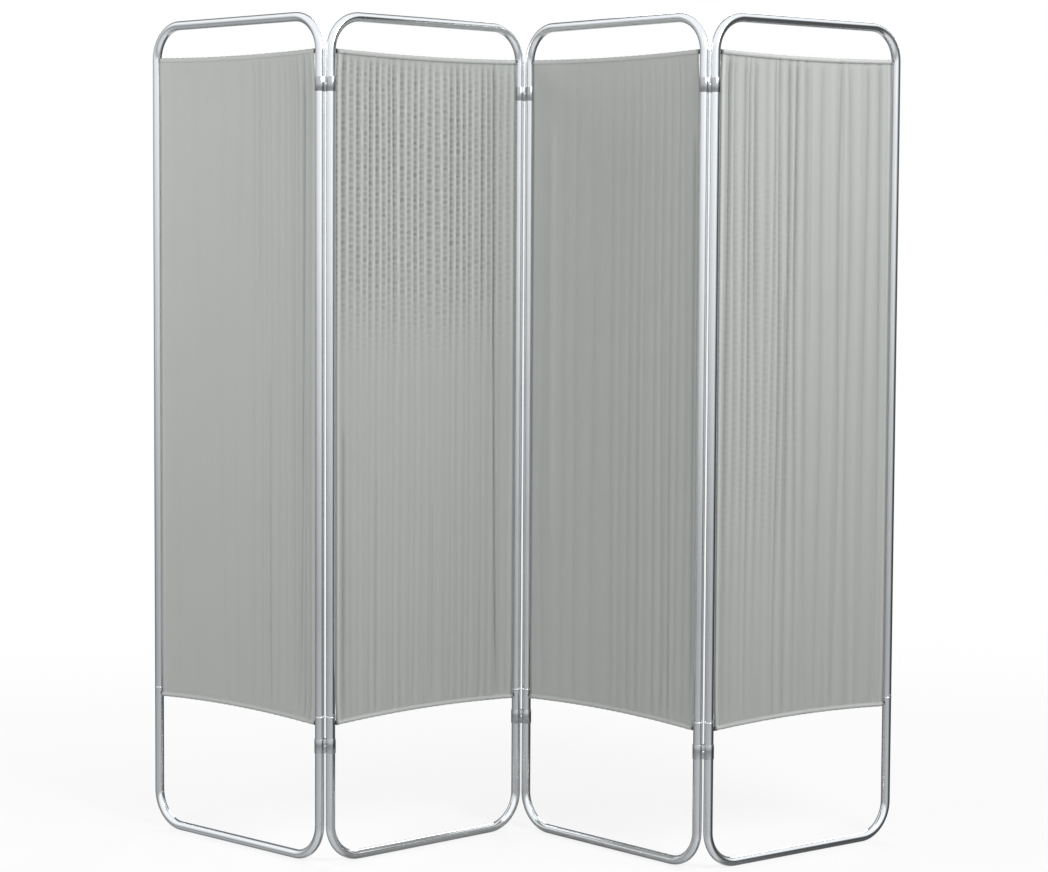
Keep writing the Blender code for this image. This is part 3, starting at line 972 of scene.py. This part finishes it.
def band_outline(inward):
    loop, waist = band_outer - inward, waist_radius + inward
    turn = atan2(waist_centre, hinge_half)
    points = []
    for x, y, radius, first, last, steps in (
        (-hinge_half, 0, loop, turn, 2 * pi - turn, loop_steps),
        (0, -waist_centre, waist, pi - turn, turn, waist_steps),
        (hinge_half, 0, loop, turn - pi, pi - turn, loop_steps),
        (0, waist_centre, waist, -turn, turn - pi, waist_steps),
    ):
        for step in range(steps):
            angle = first + (last - first) * step / steps
            points.append((x + radius * cos(angle), y + radius * sin(angle)))
    return points


def strip(shape):
    """The outline twice, low and high, and bridged all the way round its section."""
    outer_low, outer_high, inner_low, inner_high = (
        [shape.verts.new((x, y, z)) for x, y in band_outline(inward)]
        for inward in (0, band_thickness)
        for z in (-band_height / 2, band_height / 2)
    )
    loops = [outer_low, outer_high, inner_high, inner_low]
    for first, second in zip(loops, loops[1:] + loops[:1]):
        bridge(shape, first, second)


def band_mesh():
    obj = link_new("band", mesh_of("band", strip))
    bevel = obj.modifiers.new("edge_break", "BEVEL")
    bevel.width = edge_break
    bevel.segments = 2
    bevel.limit_method = "ANGLE"
    return applied(obj)


def rivet(shape):
    """A shank along Y with a domed head in each hollow of the waist."""
    seat = waist_face + rivet_gap
    edge = rivet_edge_share * rivet_rise
    head = dome(rivet_head, seat + edge, rivet_rise - edge, rivet_steps)
    front = head[::-1] + [(rivet_head, seat), (rivet_shank, seat)]
    turn_profile(shape, both_ways(front), rivet_sides, Matrix.Rotation(pi / 2, 4, "X"))


for number in HINGES:
    for name, height in (("upper", upper_band_height), ("lower", lower_band_height)):
        dress(f"{name}_band", number, band_mesh(), [f"{name}_hinge_band"],
              band_plate, "hinge", height)
        dress(f"{name}_rivet", number, mesh_of("rivet", rivet),
              [f"{name}_hinge_rivet"], wire_steel, "hinge", height)

# %% [markdown]
# The curtains are the screen's main surface, and no two hang alike: one is almost smooth,
# the next is full of gathers. A cloth simulation could make them, but the folds would fall
# where it likes. Here each fold is a rounded ridge between two sharper valleys, with its
# own width, depth and wander, drawn from a fixed seed, so that a curtain keeps the
# character that it shows in the picture and stays the same each run.

# %% Describe how each curtain hangs
# zones: from where to where across the panel, and how wide its folds are there.
# across_shares and height_shares: how deep the folds are at places across the panel and
# up the panel, as a share of the depth. roundness: below 1 makes full ridges and sharp
# valleys. uneven_widths: how far a fold's width may be from the usual, as a share of it.
# ripple: how high and how wide the fine ripples at the rods are. hang: how straight the
# cloth falls from the rod's front, from 0, drawn in under it, to 1. pucker: how strong the
# dents are, where they are strongest (across, up) and how far they spread. dent_depth: how
# far they are pressed in. hem_tones: how much lighter the left and right side hem are.
# seam_tone: how much light is painted on the rod's pocket, and how dark a shadow is painted
# under the header's pocket. edge_tones: how much shade is painted along the left and right
# edge, beside the tubes. hollow: where one starts beside the right edge, and how deep it is.
# creases: single ones, each with its place across, its width and depth in millimetres (a
# depth below 0 is a ridge), its top and foot as shares of the height, and how many
# millimetres its foot leans aside.
PLAIN = {
    "uneven_widths": 0.40, "dent_depth": 0.0, "hollow": (0.9, 0.0),
    "pucker": 0.0, "pucker_place": (0.5, 0.5), "pucker_spread": (1, 1),
}
CURTAINS = {
    1: PLAIN | {
        "seed": 11, "zones": ((0.0, 0.62, 62 * MM), (0.62, 1.0, 17 * MM)), "depth": 3.4 * MM,
        "across_shares": ((0, 0.15), (0.5, 0.15), (0.66, 0.55), (1, 1.0)),
        "height_shares": ((0, 1.0), (0.3, 0.8), (0.6, 0.45), (1, 0.8)),
        "roundness": 1.0, "ripple": (0.22 * MM, 11.5 * MM), "hang": 0.65,
        "hem_tones": (0.25, 0.25), "seam_tone": 0.0, "edge_tones": (0.5, 0.2),
        "creases": [(0.93, 3.2, 2.6, 0.93, 0.0, -12), (0.655, 4, 1.1, 1.0, 0.6, 5),
                    (0.72, 4, 1.2, 0.5, 0.0, 4), (0.87, 4, 1.4, 1.0, 0.0, 2)],
    },
    2: PLAIN | {
        "seed": 5, "zones": ((0.0, 0.88, 17.5 * MM), (0.88, 1.0, 20 * MM)), "depth": 4.4 * MM,
        "across_shares": ((0, 1.0), (0.25, 0.9), (0.5, 0.8), (0.86, 1.0), (0.92, 0.4), (1, 0.5)),
        "height_shares": ((0, 0.42), (0.35, 0.30), (0.53, 0.26), (0.66, 0.7), (0.9, 1.0), (1, 0.9)),
        "roundness": 0.85, "uneven_widths": 0.22, "ripple": (0.95 * MM, 29 * MM), "hang": 0.0,
        "pucker": 0.82, "pucker_place": (0.40, 0.80), "pucker_spread": (0.60, 0.22),
        "dent_depth": 2.3 * MM, "hollow": (0.874, 4 * MM),
        "hem_tones": (1.0, 0.2), "seam_tone": 0.9, "edge_tones": (1.1, 1.1),
        "creases": [(0.874, 3.2, 4.6, 1.0, 0.0, 14), (0.045, 4, 2.2, 0.42, 0.0, 3),
                    (0.22, 4, 1.2, 0.35, 0.0, 2), (0.53, 4, 1.0, 0.3, 0.0, 2)],
    },
    3: PLAIN | {
        "seed": 8, "zones": ((0.0, 0.5, 46 * MM), (0.5, 1.0, 23 * MM)), "depth": 3.8 * MM,
        "across_shares": ((0, 0.5), (0.5, 0.45), (0.8, 1.0), (1, 1.0)),
        "height_shares": ((0, 1.0), (0.4, 0.9), (0.7, 0.5), (1, 0.25)),
        "roundness": 1.2, "ripple": (0.15 * MM, 11.5 * MM), "hang": 0.55,
        "hem_tones": (0.1, 0.1), "seam_tone": 0.2, "edge_tones": (1.2, 0.5),
        "creases": [(0.975, 4.0, 2.6, 0.85, 0.0, 3), (0.82, 5, 0.9, 0.6, 0.0, 2),
                    (0.125, 9, -2.3, 0.86, 0.25, 5)],
    },
    4: PLAIN | {
        "seed": 21, "zones": ((0.0, 0.44, 21.5 * MM), (0.44, 1.0, 38 * MM)), "depth": 5.8 * MM,
        "across_shares": ((0, 0.9), (0.4, 1.0), (0.7, 0.9), (1, 0.9)),
        "height_shares": ((0, 0.35), (0.15, 0.40), (0.35, 0.7), (0.6, 0.9), (1, 1.0)),
        "roundness": 1.15, "ripple": (1.10 * MM, 34 * MM), "hang": 0.0,
        "pucker": 0.30, "pucker_place": (0.18, 0.58), "pucker_spread": (0.26, 0.30),
        "hem_tones": (0.9, 0.3), "seam_tone": 0.9, "edge_tones": (1.5, 1.2),
        "creases": [(0.20, 3.4, 2.6, 1.0, 0.55, 3), (0.435, 3.2, 2.2, 1.0, 0.62, -40),
                    (0.375, 3.6, 2.2, 0.62, 0.2, 4), (0.52, 3.2, 1.8, 1.0, 0.5, 2),
                    (0.71, 3.2, 1.6, 1.0, 0.5, 3), (0.04, 4, 1.4, 1.0, 0.0, 2)],
    },
}
cloth_inset = tube_radius + 1.2 * MM
header_inset = tube_radius + 3.2 * MM
cloth_half = stile_place - cloth_inset
print("curtain seeds:", [spec["seed"] for spec in CURTAINS.values()])

# %% [markdown]
# Across the panel a curtain is a row of ridges. The valleys between them wander a little
# from top to bottom, so the phase of the folds is looked up again on every row. A power
# below one makes the ridge full and the valley sharp. Finer ripples start at the rods,
# where the cloth is gathered, and die out a hand's breadth away.

# %% Work out the folds of one curtain
ripple_from_top = 0.34
ripple_from_foot = 0.20
foot_ripple_share = 0.7
belly_depth = 2.6 * MM
belly_span = 0.9
belly_start = 0.3
fold_base = 0.6
least_ripple = 0.25
drift_pitch = 71 * MM
drift_turn = 1.3
rise_turn = 0.6
rise_pace = 7
fold_depths = (0.5, 1.2)
foot_depths = (0.35, 1.25)
sway_share = 0.14
sway_pace = 2.4 * pi
lean_share = 0.25
crease_fades = (0.05, 0.12)
hollow_width = 0.05
hollow_side = 0.94
hollow_top = 0.9
# The fold depth and the crease depth at which the shade painted into them is darkest.
darkest_depth = 9 * MM
darkest_crease = 5 * MM


def smooth_step(low, high, value):
    share = np.clip((value - low) / (high - low), 0, 1)
    return share * share * (3 - 2 * share)


def looked_up(value, table):
    places, shares = zip(*table)
    return np.interp(value, places, shares)


def height_share(z):
    return (z - curtain_bottom) / (curtain_top - curtain_bottom)


def across_share(x):
    return (x / cloth_half + 1) / 2


def valley_lines(spec, random):
    """Where the valleys are across the panel, and how wide the folds are at each."""
    places, widths = [-cloth_half], []
    for first, last, pitch in spec["zones"]:
        span = (last - first) * 2 * cloth_half
        shares = 1 + spec["uneven_widths"] * random.uniform(-1, 1, max(1, round(span / pitch)))
        steps = shares / shares.sum() * span
        places.extend(places[-1] + np.cumsum(steps))
        widths.extend(steps)
    return np.array(places), np.array(widths + widths[-1:])


def draw_folds(number):
    """What chance decides in one curtain: its valleys' places, their wander and the depths."""
    random = np.random.default_rng(CURTAINS[number]["seed"])
    places, widths = valley_lines(CURTAINS[number], random)
    count = len(places) - 1
    return {
        "places": places,
        "depth_shares": random.uniform(*fold_depths, count),
        "foot_shares": random.uniform(*foot_depths, count),
        "sway": random.uniform(-1, 1, count + 1) * widths * sway_share,
        "phases": random.uniform(0, 2 * pi, count + 1),
        "lean": random.uniform(-1, 1, count + 1) * widths * lean_share,
        "rung_starts": random.uniform(0, 1, (5, count + 1)),
    }


def valleys_at(folds, level):
    """Where the valleys are across the panel, at a share of the height."""
    sway = folds["sway"] * np.sin(sway_pace * level + folds["phases"])
    shifted = folds["places"] + sway + folds["lean"] * (level - 0.5)
    shifted[0], shifted[-1] = folds["places"][0], folds["places"][-1]
    return np.sort(shifted)


def ripples(spec, x, z, height):
    """The fine ripples, which die out away from the rods and are never quite even."""
    size, pitch = spec["ripple"]
    from_top = (curtain_top - z) / ripple_from_top
    from_foot = (z - curtain_bottom) / ripple_from_foot
    fade = np.exp(-from_top) + foot_ripple_share * np.exp(-from_foot)
    drift = drift_turn * np.sin(2 * pi * x / drift_pitch)
    phase = 2 * pi * x / pitch + drift + rise_turn * np.sin(rise_pace * height)
    return size * (least_ripple + fade) * np.sin(phase)


def fold_field(number, x, z):
    """At grids x and z: how far the cloth stands towards the viewer, how much shade is painted
    in its valleys, from 0 to 1, and how many folds are to its left."""
    spec, folds = CURTAINS[number], folds_of[number]
    count = len(folds["places"]) - 1
    height, across = height_share(z), across_share(x)
    ridge, share, phase = np.zeros((3, *x.shape))
    for row, level in enumerate(height[:, 0]):
        places = valleys_at(folds, level)
        phase[row] = np.clip(np.interp(x[row], places, np.arange(count + 1)), 0, count - 1e-6)
        index = phase[row].astype(int)
        ridge[row] = np.sin(pi * (phase[row] - index)) ** spec["roundness"]
        foot_share = folds["foot_shares"][index]
        share[row] = folds["depth_shares"][index] * (foot_share + (1 - foot_share) * level)
    across_depth = looked_up(across, spec["across_shares"])
    strength = share * across_depth * looked_up(height, spec["height_shares"])
    stand = spec["depth"] * strength * (ridge - fold_base)
    belly = belly_depth * np.sin(pi * across)
    belly = belly * np.sin(pi * height * belly_span + belly_start)
    start, sink = spec["hollow"]
    hollow = smooth_step(start, start + hollow_width, across)
    hollow = hollow * smooth_step(1.0, hollow_side, across)
    belly = belly - sink * hollow * smooth_step(1.0, hollow_top, height)
    # Shade is painted into the folds' bottoms, darker where the folds are deeper.
    valley = (1 - ridge) ** 2 * np.clip(strength, 0, 1) * spec["depth"] / darkest_depth
    for place, width, sink, top, foot, aside in spec["creases"]:
        line = (2 * place - 1) * cloth_half + aside * MM * (top - height) ** 2
        length = smooth_step(foot - crease_fades[0], foot + crease_fades[1], height)
        length = length * (1 - smooth_step(top, top + crease_fades[0], height))
        dip = np.exp(-(((x - line) / (width * MM)) ** 2)) * length
        stand = stand - sink * MM * dip
        # Shade is also painted into the creases' bottoms; a ridge gets none.
        valley = np.maximum(valley, dip**2 * (sink * MM) / darkest_crease)
    return stand + ripples(spec, x, z, height) + belly, valley, phase


folds_of = {number: draw_folds(number) for number in PANELS}
grid = np.meshgrid(
    np.linspace(-cloth_half, cloth_half, 200), np.linspace(curtain_bottom, curtain_top, 50)
)
for number in PANELS:
    stand = fold_field(number, *grid)[0]
    print(f"curtain {number}: folds from {stand.min() * 1000:.1f} to {stand.max() * 1000:.1f} mm")

# %% [markdown]
# A ladder of dents runs down the valleys of a crinkled curtain. Two ridges hold the cloth
# up, a rung ties them together every 13 or 14 mm, and between two rungs the cloth falls
# in. The rungs of one valley lie about between those of the next, as fish scales do, and
# some dents are hardly there. The same two counts, folds and rungs, place the dents in the
# mesh and the painted shade in the material, so that the dents' shading and the shade
# painted into them agree.

# %% Press the dents into the valleys
wander_lengths = (83 * MM, 37 * MM)
wander_shares = (0.12, 0.08)
uneven_lengths = (61 * MM, 23.5 * MM)
uneven_shares = (0.24, 0.16)
usual_strength = 0.85
stagger = 0.5
uneven_start = 0.35


def waves(folds, phase, down, lengths, shares, first):
    """A slow and a quick wave down each valley, each valley with its own start."""
    starts = folds["rung_starts"][:, np.rint(phase).astype(int)]
    return sum(
        share * np.sin(2 * pi * (down / length + starts[first + order]))
        for order, (length, share) in enumerate(zip(lengths, shares))
    )


def pucker_at(spec, across, height):
    """How strong the dents are at shares of the width and the height."""
    spread = 0
    for value, middle, reach in zip((across, height), spec["pucker_place"], spec["pucker_spread"]):
        spread = spread + ((value - middle) / reach) ** 4
    return spec["pucker"] * np.exp(-spread)


def rung_field(number, across, height, phase):
    """How strong the dents are, and how many rungs are above each point in its valley."""
    spec, folds = CURTAINS[number], folds_of[number]
    down = (1 - height) * (curtain_top - curtain_bottom)
    wander = waves(folds, phase, down, wander_lengths, wander_shares, 0)
    uneven = usual_strength + waves(folds, phase, down, uneven_lengths, uneven_shares, 2)
    order = np.rint(phase).astype(int)
    start = stagger * (order % 2) + uneven_start * folds["rung_starts"][-1][order]
    return pucker_at(spec, across, height) * uneven, down / dent_pitch + wander + start


def dent_field(phase, rung):
    """1 in the middle of a dent and 0 on the ridges, with a little left at the rungs."""
    between = smooth_step(*dent_edges, 2 * np.abs(phase - np.rint(phase)))
    gap = smooth_step(*rung_edges, np.abs(rung % 1 - 0.5))
    return between * (rung_least + (1 - rung_least) * gap)


print("dents every", dent_pitch / MM, "mm")

# %% [markdown]
# Seen from the side, the cloth is one long strip: it starts at the raw edge inside the
# header, goes up behind the top rod, over it, down the whole front, under the bottom rod
# and up again behind it. So a curtain's mesh is a grid, whose rows follow that strip. They
# lie closer together where there are dents to show. Solidify gives the cloth its thickness.

# %% Draw the strip that a curtain follows from hem to hem
pocket_half = 4.6 * MM
pocket_shares = (0.25, 0.5, 0.75)
pocket_swell = 0.6
pocket_folds = 0.35
rod_folds = 0.2
rod_steps = 8
hem_drops = np.array((24, 17, 12.5, 11, 10)) * MM
hem_folds = (1.0, 0.85, 0.7, 0.6, 0.55)
ply_gap = 0.42 * MM
cloth_thickness = 0.5 * MM
plain_row = 12 * MM
dented_row = dent_pitch / 4
strong_dents = 0.3


def hem_strip(edge, rod, down):
    """The hem's rows from the raw edge to the front: (height, offset to the back, how much
    of the folds it has). down is -1 for the header and 1 for the foot. The hem's drops are
    measured from the folded edge, the last one is the seam under the rod's pocket."""
    inner = [(edge + down * drop, ply_gap, share) for drop, share in zip(hem_drops, hem_folds)]
    seam = inner[-1][0]
    for share in pocket_shares:
        bulge = (pocket_half - ply_gap) * share**pocket_swell
        inner.append((seam + (rod - seam) * share, ply_gap + bulge, pocket_folds))
    reach = abs(edge - rod) - cloth_thickness / 2
    turns = [pi * step / rod_steps for step in range(rod_steps + 1)]
    over = [(rod - down * reach * sin(turn), pocket_half * cos(turn), rod_folds) for turn in turns]
    return inner + over + [(height, -offset, share) for height, offset, share in reversed(inner)]


def front_heights(spec, top, bottom):
    """The heights of the rows down the front."""
    heights = []
    level = top
    while True:
        pucker = pucker_at(spec, spec["pucker_place"][0], height_share(level))
        level -= dented_row if spec["dent_depth"] and pucker > strong_dents else plain_row
        if level < bottom + dented_row:
            return heights
        heights.append(level)


def strip_rows(spec):
    """All rows, how many of them the header has, and the first row of the foot."""
    header = hem_strip(curtain_top, top_rod_height, -1)
    foot = hem_strip(curtain_bottom, bottom_rod_height, 1)[::-1]
    body = [(level, 0.0, 1.0) for level in front_heights(spec, header[-1][0], foot[0][0])]
    return np.array(header + body + foot), len(header), len(header) + len(body)


for number, spec in CURTAINS.items():
    print(f"curtain {number}: {len(strip_rows(spec)[0])} rows")

# %% [markdown]
# The grid's columns run along the folds, so that each ridge and each valley is a clean
# line of edges. A gathered header is narrower than the cloth below it, so the side edges
# draw in towards the hems. The rods' bow lifts or lowers the whole cloth between them. The
# UV map is laid out from lengths measured along the finished cloth, so the weave is not
# stretched, and the same lengths give the size that the cloth was cut to.

# %% Shape the curtains
column_width = 2.9 * MM
least_columns = 4
header_reach = 70 * MM
gather_size = 0.35 * MM
gather_pitch = 8.5 * MM
gather_drift = 31 * MM
scallop_size = 0.35 * MM
scallop_pitch = 17 * MM
scallop_drift = 23 * MM
hem_reach = (10 * MM, 30 * MM)
hang_reach = (110 * MM, 10 * MM)
scallop_reach = 12 * MM
edge_turn = 1.2 * MM
edge_share = 0.02
seam_width = 2.0 * MM
# The painted shadow under the header's pocket, the painted light on the pockets, and the widths
# over which the side edges get painted shade, the side hems are lighter and the pockets get painted
# light.
seam_painted_shadow = 0.55
pocket_painted_light = 0.2
pocket_extra_painted_light = 0.6
curtain_middle = (curtain_bottom + curtain_top) / 2
edge_shade_reach = (2.5 * MM, 6.5 * MM)
side_hem_reach = (9 * MM, 11.5 * MM)
pocket_reach = (7 * MM, 9 * MM)


def fold_columns(folds, levels):
    """Where the columns cross each row, every fold with columns enough for its width."""
    counts = np.rint(np.diff(folds["places"]) / column_width)
    counts = np.maximum(least_columns, counts).astype(int)
    phases = [order + step / count for order, count in enumerate(counts) for step in range(count)]
    phases.append(len(counts))
    orders = np.arange(len(counts) + 1)
    return np.array([np.interp(phases, orders, valleys_at(folds, level)) for level in levels])


def cloth_tones(spec, x, level, near_hem, in_hem, valley):
    """The painted shade in the valleys, under the header's pocket and along the side edges,
    and the painted light on the rod pockets, with lighter side hems.
    """
    # A painted shadow along the seam under the header's pocket.
    seam = np.exp(-(((near_hem - hem_drops[-1]) / seam_width) ** 2)) * spec["seam_tone"]
    header_seam_shadow = seam_painted_shadow * seam * (level > curtain_middle)
    valley = np.maximum(valley * (1 - in_hem), header_seam_shadow + 0 * x)
    # Painted light on the rod pockets.
    pocket = 1 - smooth_step(*pocket_reach, near_hem)
    hem = pocket * (pocket_painted_light + pocket_extra_painted_light * spec["seam_tone"]) + 0 * x
    # Painted shade along each side edge beside the tube, and a lighter side hem.
    from_edges = (x - x[:, :1], x[:, -1:] - x)
    for edge, dark, light in zip(from_edges, spec["edge_tones"], spec["hem_tones"]):
        valley = np.maximum(valley, dark * (1 - smooth_step(*edge_shade_reach, edge)))
        hem = np.maximum(hem, light * (1 - smooth_step(*side_hem_reach, edge)))
    return valley, hem


def curtain_points(number, rows):
    """The curtain as a grid of points (row, column, axis), and what the cloth reads."""
    spec = CURTAINS[number]
    level, offset, fold_share = np.hsplit(rows, 3)
    share = height_share(level)
    near_hem = np.minimum(abs(curtain_top - level), abs(level - curtain_bottom))
    in_hem = 1 - smooth_step(*hem_reach, near_hem)
    inset = header_inset + (cloth_inset - header_inset) * smooth_step(0, header_reach, near_hem)
    spread_x = fold_columns(folds_of[number], share[:, 0])
    across = across_share(spread_x)
    x = spread_x * (stile_place - inset) / cloth_half
    z = level + 0 * x
    stand, valley, fold = fold_field(number, spread_x, z)
    pucker, rung = rung_field(number, across, share, fold)
    pucker = pucker * (1 - in_hem)
    stand = stand - spec["dent_depth"] * pucker * dent_field(fold, rung)

    free = smooth_step(0, edge_share, across) * smooth_step(1, 1 - edge_share, across)
    gather = gather_size * np.sin(2 * pi * x / gather_pitch + 2 * np.sin(x / gather_drift))
    y = offset - (stand * free + edge_turn * (1 - free)) * fold_share
    y = y + gather * in_hem * np.sign(offset)
    drop, rod_drop = curtain_top - level, curtain_top - top_rod_height
    under_rod = np.clip((drop - rod_drop) / (hem_drops[-1] - rod_drop), 0, 1)
    y = y - (pocket_half - ply_gap) * spec["hang"] * under_rod * smooth_step(*hang_reach, drop)

    bowed = bow(np.clip(x, -eye_place, eye_place))
    z = z + bowed * (-top_sag * share**3 + bottom_arch * (1 - share) ** 3)
    scallop = scallop_size * np.sin(2 * pi * x / scallop_pitch + np.sin(x / scallop_drift))
    z = z + scallop * (1 - smooth_step(0, scallop_reach, near_hem))
    valley, hem = cloth_tones(spec, x, level, near_hem, in_hem, valley)
    attributes = {"valley": valley, "pucker": pucker, "fold": fold, "rung": rung, "hem": hem}
    return np.stack([x, y, z], axis=-1), attributes


def flat_places(points, header_end, foot_start):
    """The flat place of every column and row, as lengths along the cloth."""
    middle = points[header_end:foot_start]
    steps_x = np.linalg.norm(np.diff(middle, axis=1), axis=-1).mean(axis=0)
    steps_y = np.linalg.norm(np.diff(points, axis=0), axis=-1).mean(axis=1)
    return [np.concatenate([[0], np.cumsum(steps)]) for steps in (steps_x, steps_y)]


def curtain_mesh(number):
    """The finished mesh, the grid that it was made from, and the size that it was cut to."""
    rows, header_end, foot_start = strip_rows(CURTAINS[number])
    points, attributes = curtain_points(number, rows)
    flat_x, flat_y = flat_places(points, header_end, foot_start)
    count_y, count_x = points.shape[:2]
    index = np.arange(count_y * count_x).reshape(count_y, count_x)
    quads = np.stack([index[:-1, :-1], index[1:, :-1], index[1:, 1:], index[:-1, 1:]], axis=-1)
    mesh = bpy.data.meshes.new(f"curtain_{number}")
    mesh.from_pydata(points.reshape(-1, 3).tolist(), [], quads.reshape(-1, 4).tolist())
    flat = np.stack(np.meshgrid(flat_x, flat_y), axis=-1).reshape(-1, 2)
    layer = mesh.uv_layers.new(name="UVMap")
    layer.data.foreach_set("uv", flat[quads.reshape(-1)].astype(np.float32).ravel())
    for name, values in attributes.items():
        attribute = mesh.attributes.new(name, "FLOAT", "POINT")
        attribute.data.foreach_set("value", values.astype(np.float32).ravel())
    obj = link_new(mesh.name, mesh)
    thickness = obj.modifiers.new("thickness", "SOLIDIFY")
    thickness.thickness = cloth_thickness
    thickness.offset = 0
    return applied(obj), (points, header_end, foot_start), (float(flat_x[-1]), float(flat_y[-1]))


curtains, cloth_grids, cut_sizes = {}, {}, {}
for number in PANELS:
    mesh, cloth_grids[number], cut_sizes[number] = curtain_mesh(number)
    curtains[number] = dress("curtain_cloth", number, mesh, ["curtain"], cloth)
    print(f"cut size {cut_sizes[number][0]:.3f} x {cut_sizes[number][1]:.3f} m")

# %% [markdown]
# Lines of machine stitches hold the hems: one under each rod pocket, one along each raw
# edge, and one down each side. They are real beads of thread, hundreds of them, so they
# are instanced: the node tree walks along a line on the cloth in equal steps, and sets a
# small oval bead at each, turned along the line.

# %% Sew the hems
stitch_pitch = 4.2 * MM
stitch_length = 2.9 * MM
thread_radius = 0.24 * MM
thread_sunk = 0.35
thread_sides = 6
thread_rings = 4
side_hem = 10.5 * MM

stitching = Growth("stitching", pitch="Float", length="Float", radius="Float", material="Material")
tree = stitching.tree
spaced = {"Curve": stitching.curve(), "Length": stitching.given("pitch")}
steps = tree.node("GeometryNodeResampleCurve", spaced, "Curve", mode="LENGTH")
along = {"Vector": tree.node("GeometryNodeInputTangent", {}, "Tangent")}
aligned = tree.node("FunctionNodeAlignRotationToVector", along, "Rotation", axis="Z")
sphere = {"Segments": thread_sides, "Rings": thread_rings, "Radius": 1.0}
bead = tree.node("GeometryNodeMeshUVSphere", sphere, "Mesh")
thin = stitching.given("radius")
bead_size = {"X": thin, "Y": thin, "Z": stitching.given("length") / 2}
stretch = tree.node("ShaderNodeCombineXYZ", bead_size, "Vector")
sewn = {"Points": steps, "Instance": bead, "Rotation": aligned, "Scale": stretch}
stitching.end(tree.node("GeometryNodeInstanceOnPoints", sewn, "Instances"))


def stitch_lines(points, header_end, foot_start):
    """The sewn lines of one curtain, on its front and on its back."""
    lift = (0, cloth_thickness / 2 + thread_radius * thread_sunk, 0)
    seam, last = len(hem_drops) - 1, len(points) - 1
    fronts = (header_end - 1 - seam, header_end - 1, foot_start, foot_start + seam)
    backs = (seam, 0, last, last - seam)
    lines = []
    for front, back in zip(fronts, backs):
        lines += [points[front, 2:-2:2] - lift, points[back, 2:-2:2] + lift]
    across = points[header_end, :, 0]
    for column in np.searchsorted(across, (across[0] + side_hem, across[-1] - side_hem)):
        edge = points[header_end - 1:foot_start + 1, column]
        lines += [edge - lift, edge + lift]
    return [line.tolist() for line in lines]


for number in PANELS:
    beads = stitching.grow("seams", stitch_lines(*cloth_grids[number]), pitch=stitch_pitch,
                           length=stitch_length, radius=thread_radius, material=thread)
    seams = dress("hem_stitches", number, beads, [], thread)

# %% [markdown]
# Last, the size of the finished screen is set beside the construction model's. Only the
# round tubes and the cloth may stand proud of it, and only by a few millimetres.

# %% Compare the sizes and finish
dressed_box = [list(corner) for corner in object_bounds()]
for axis, name in enumerate("XYZ"):
    grown = [(dressed_box[end][axis] - cad_box[end][axis]) * 1000 for end in (0, 1)]
    print(f"{name}: {grown[0]:+.2f} mm at the low end, {grown[1]:+.2f} mm at the high end")
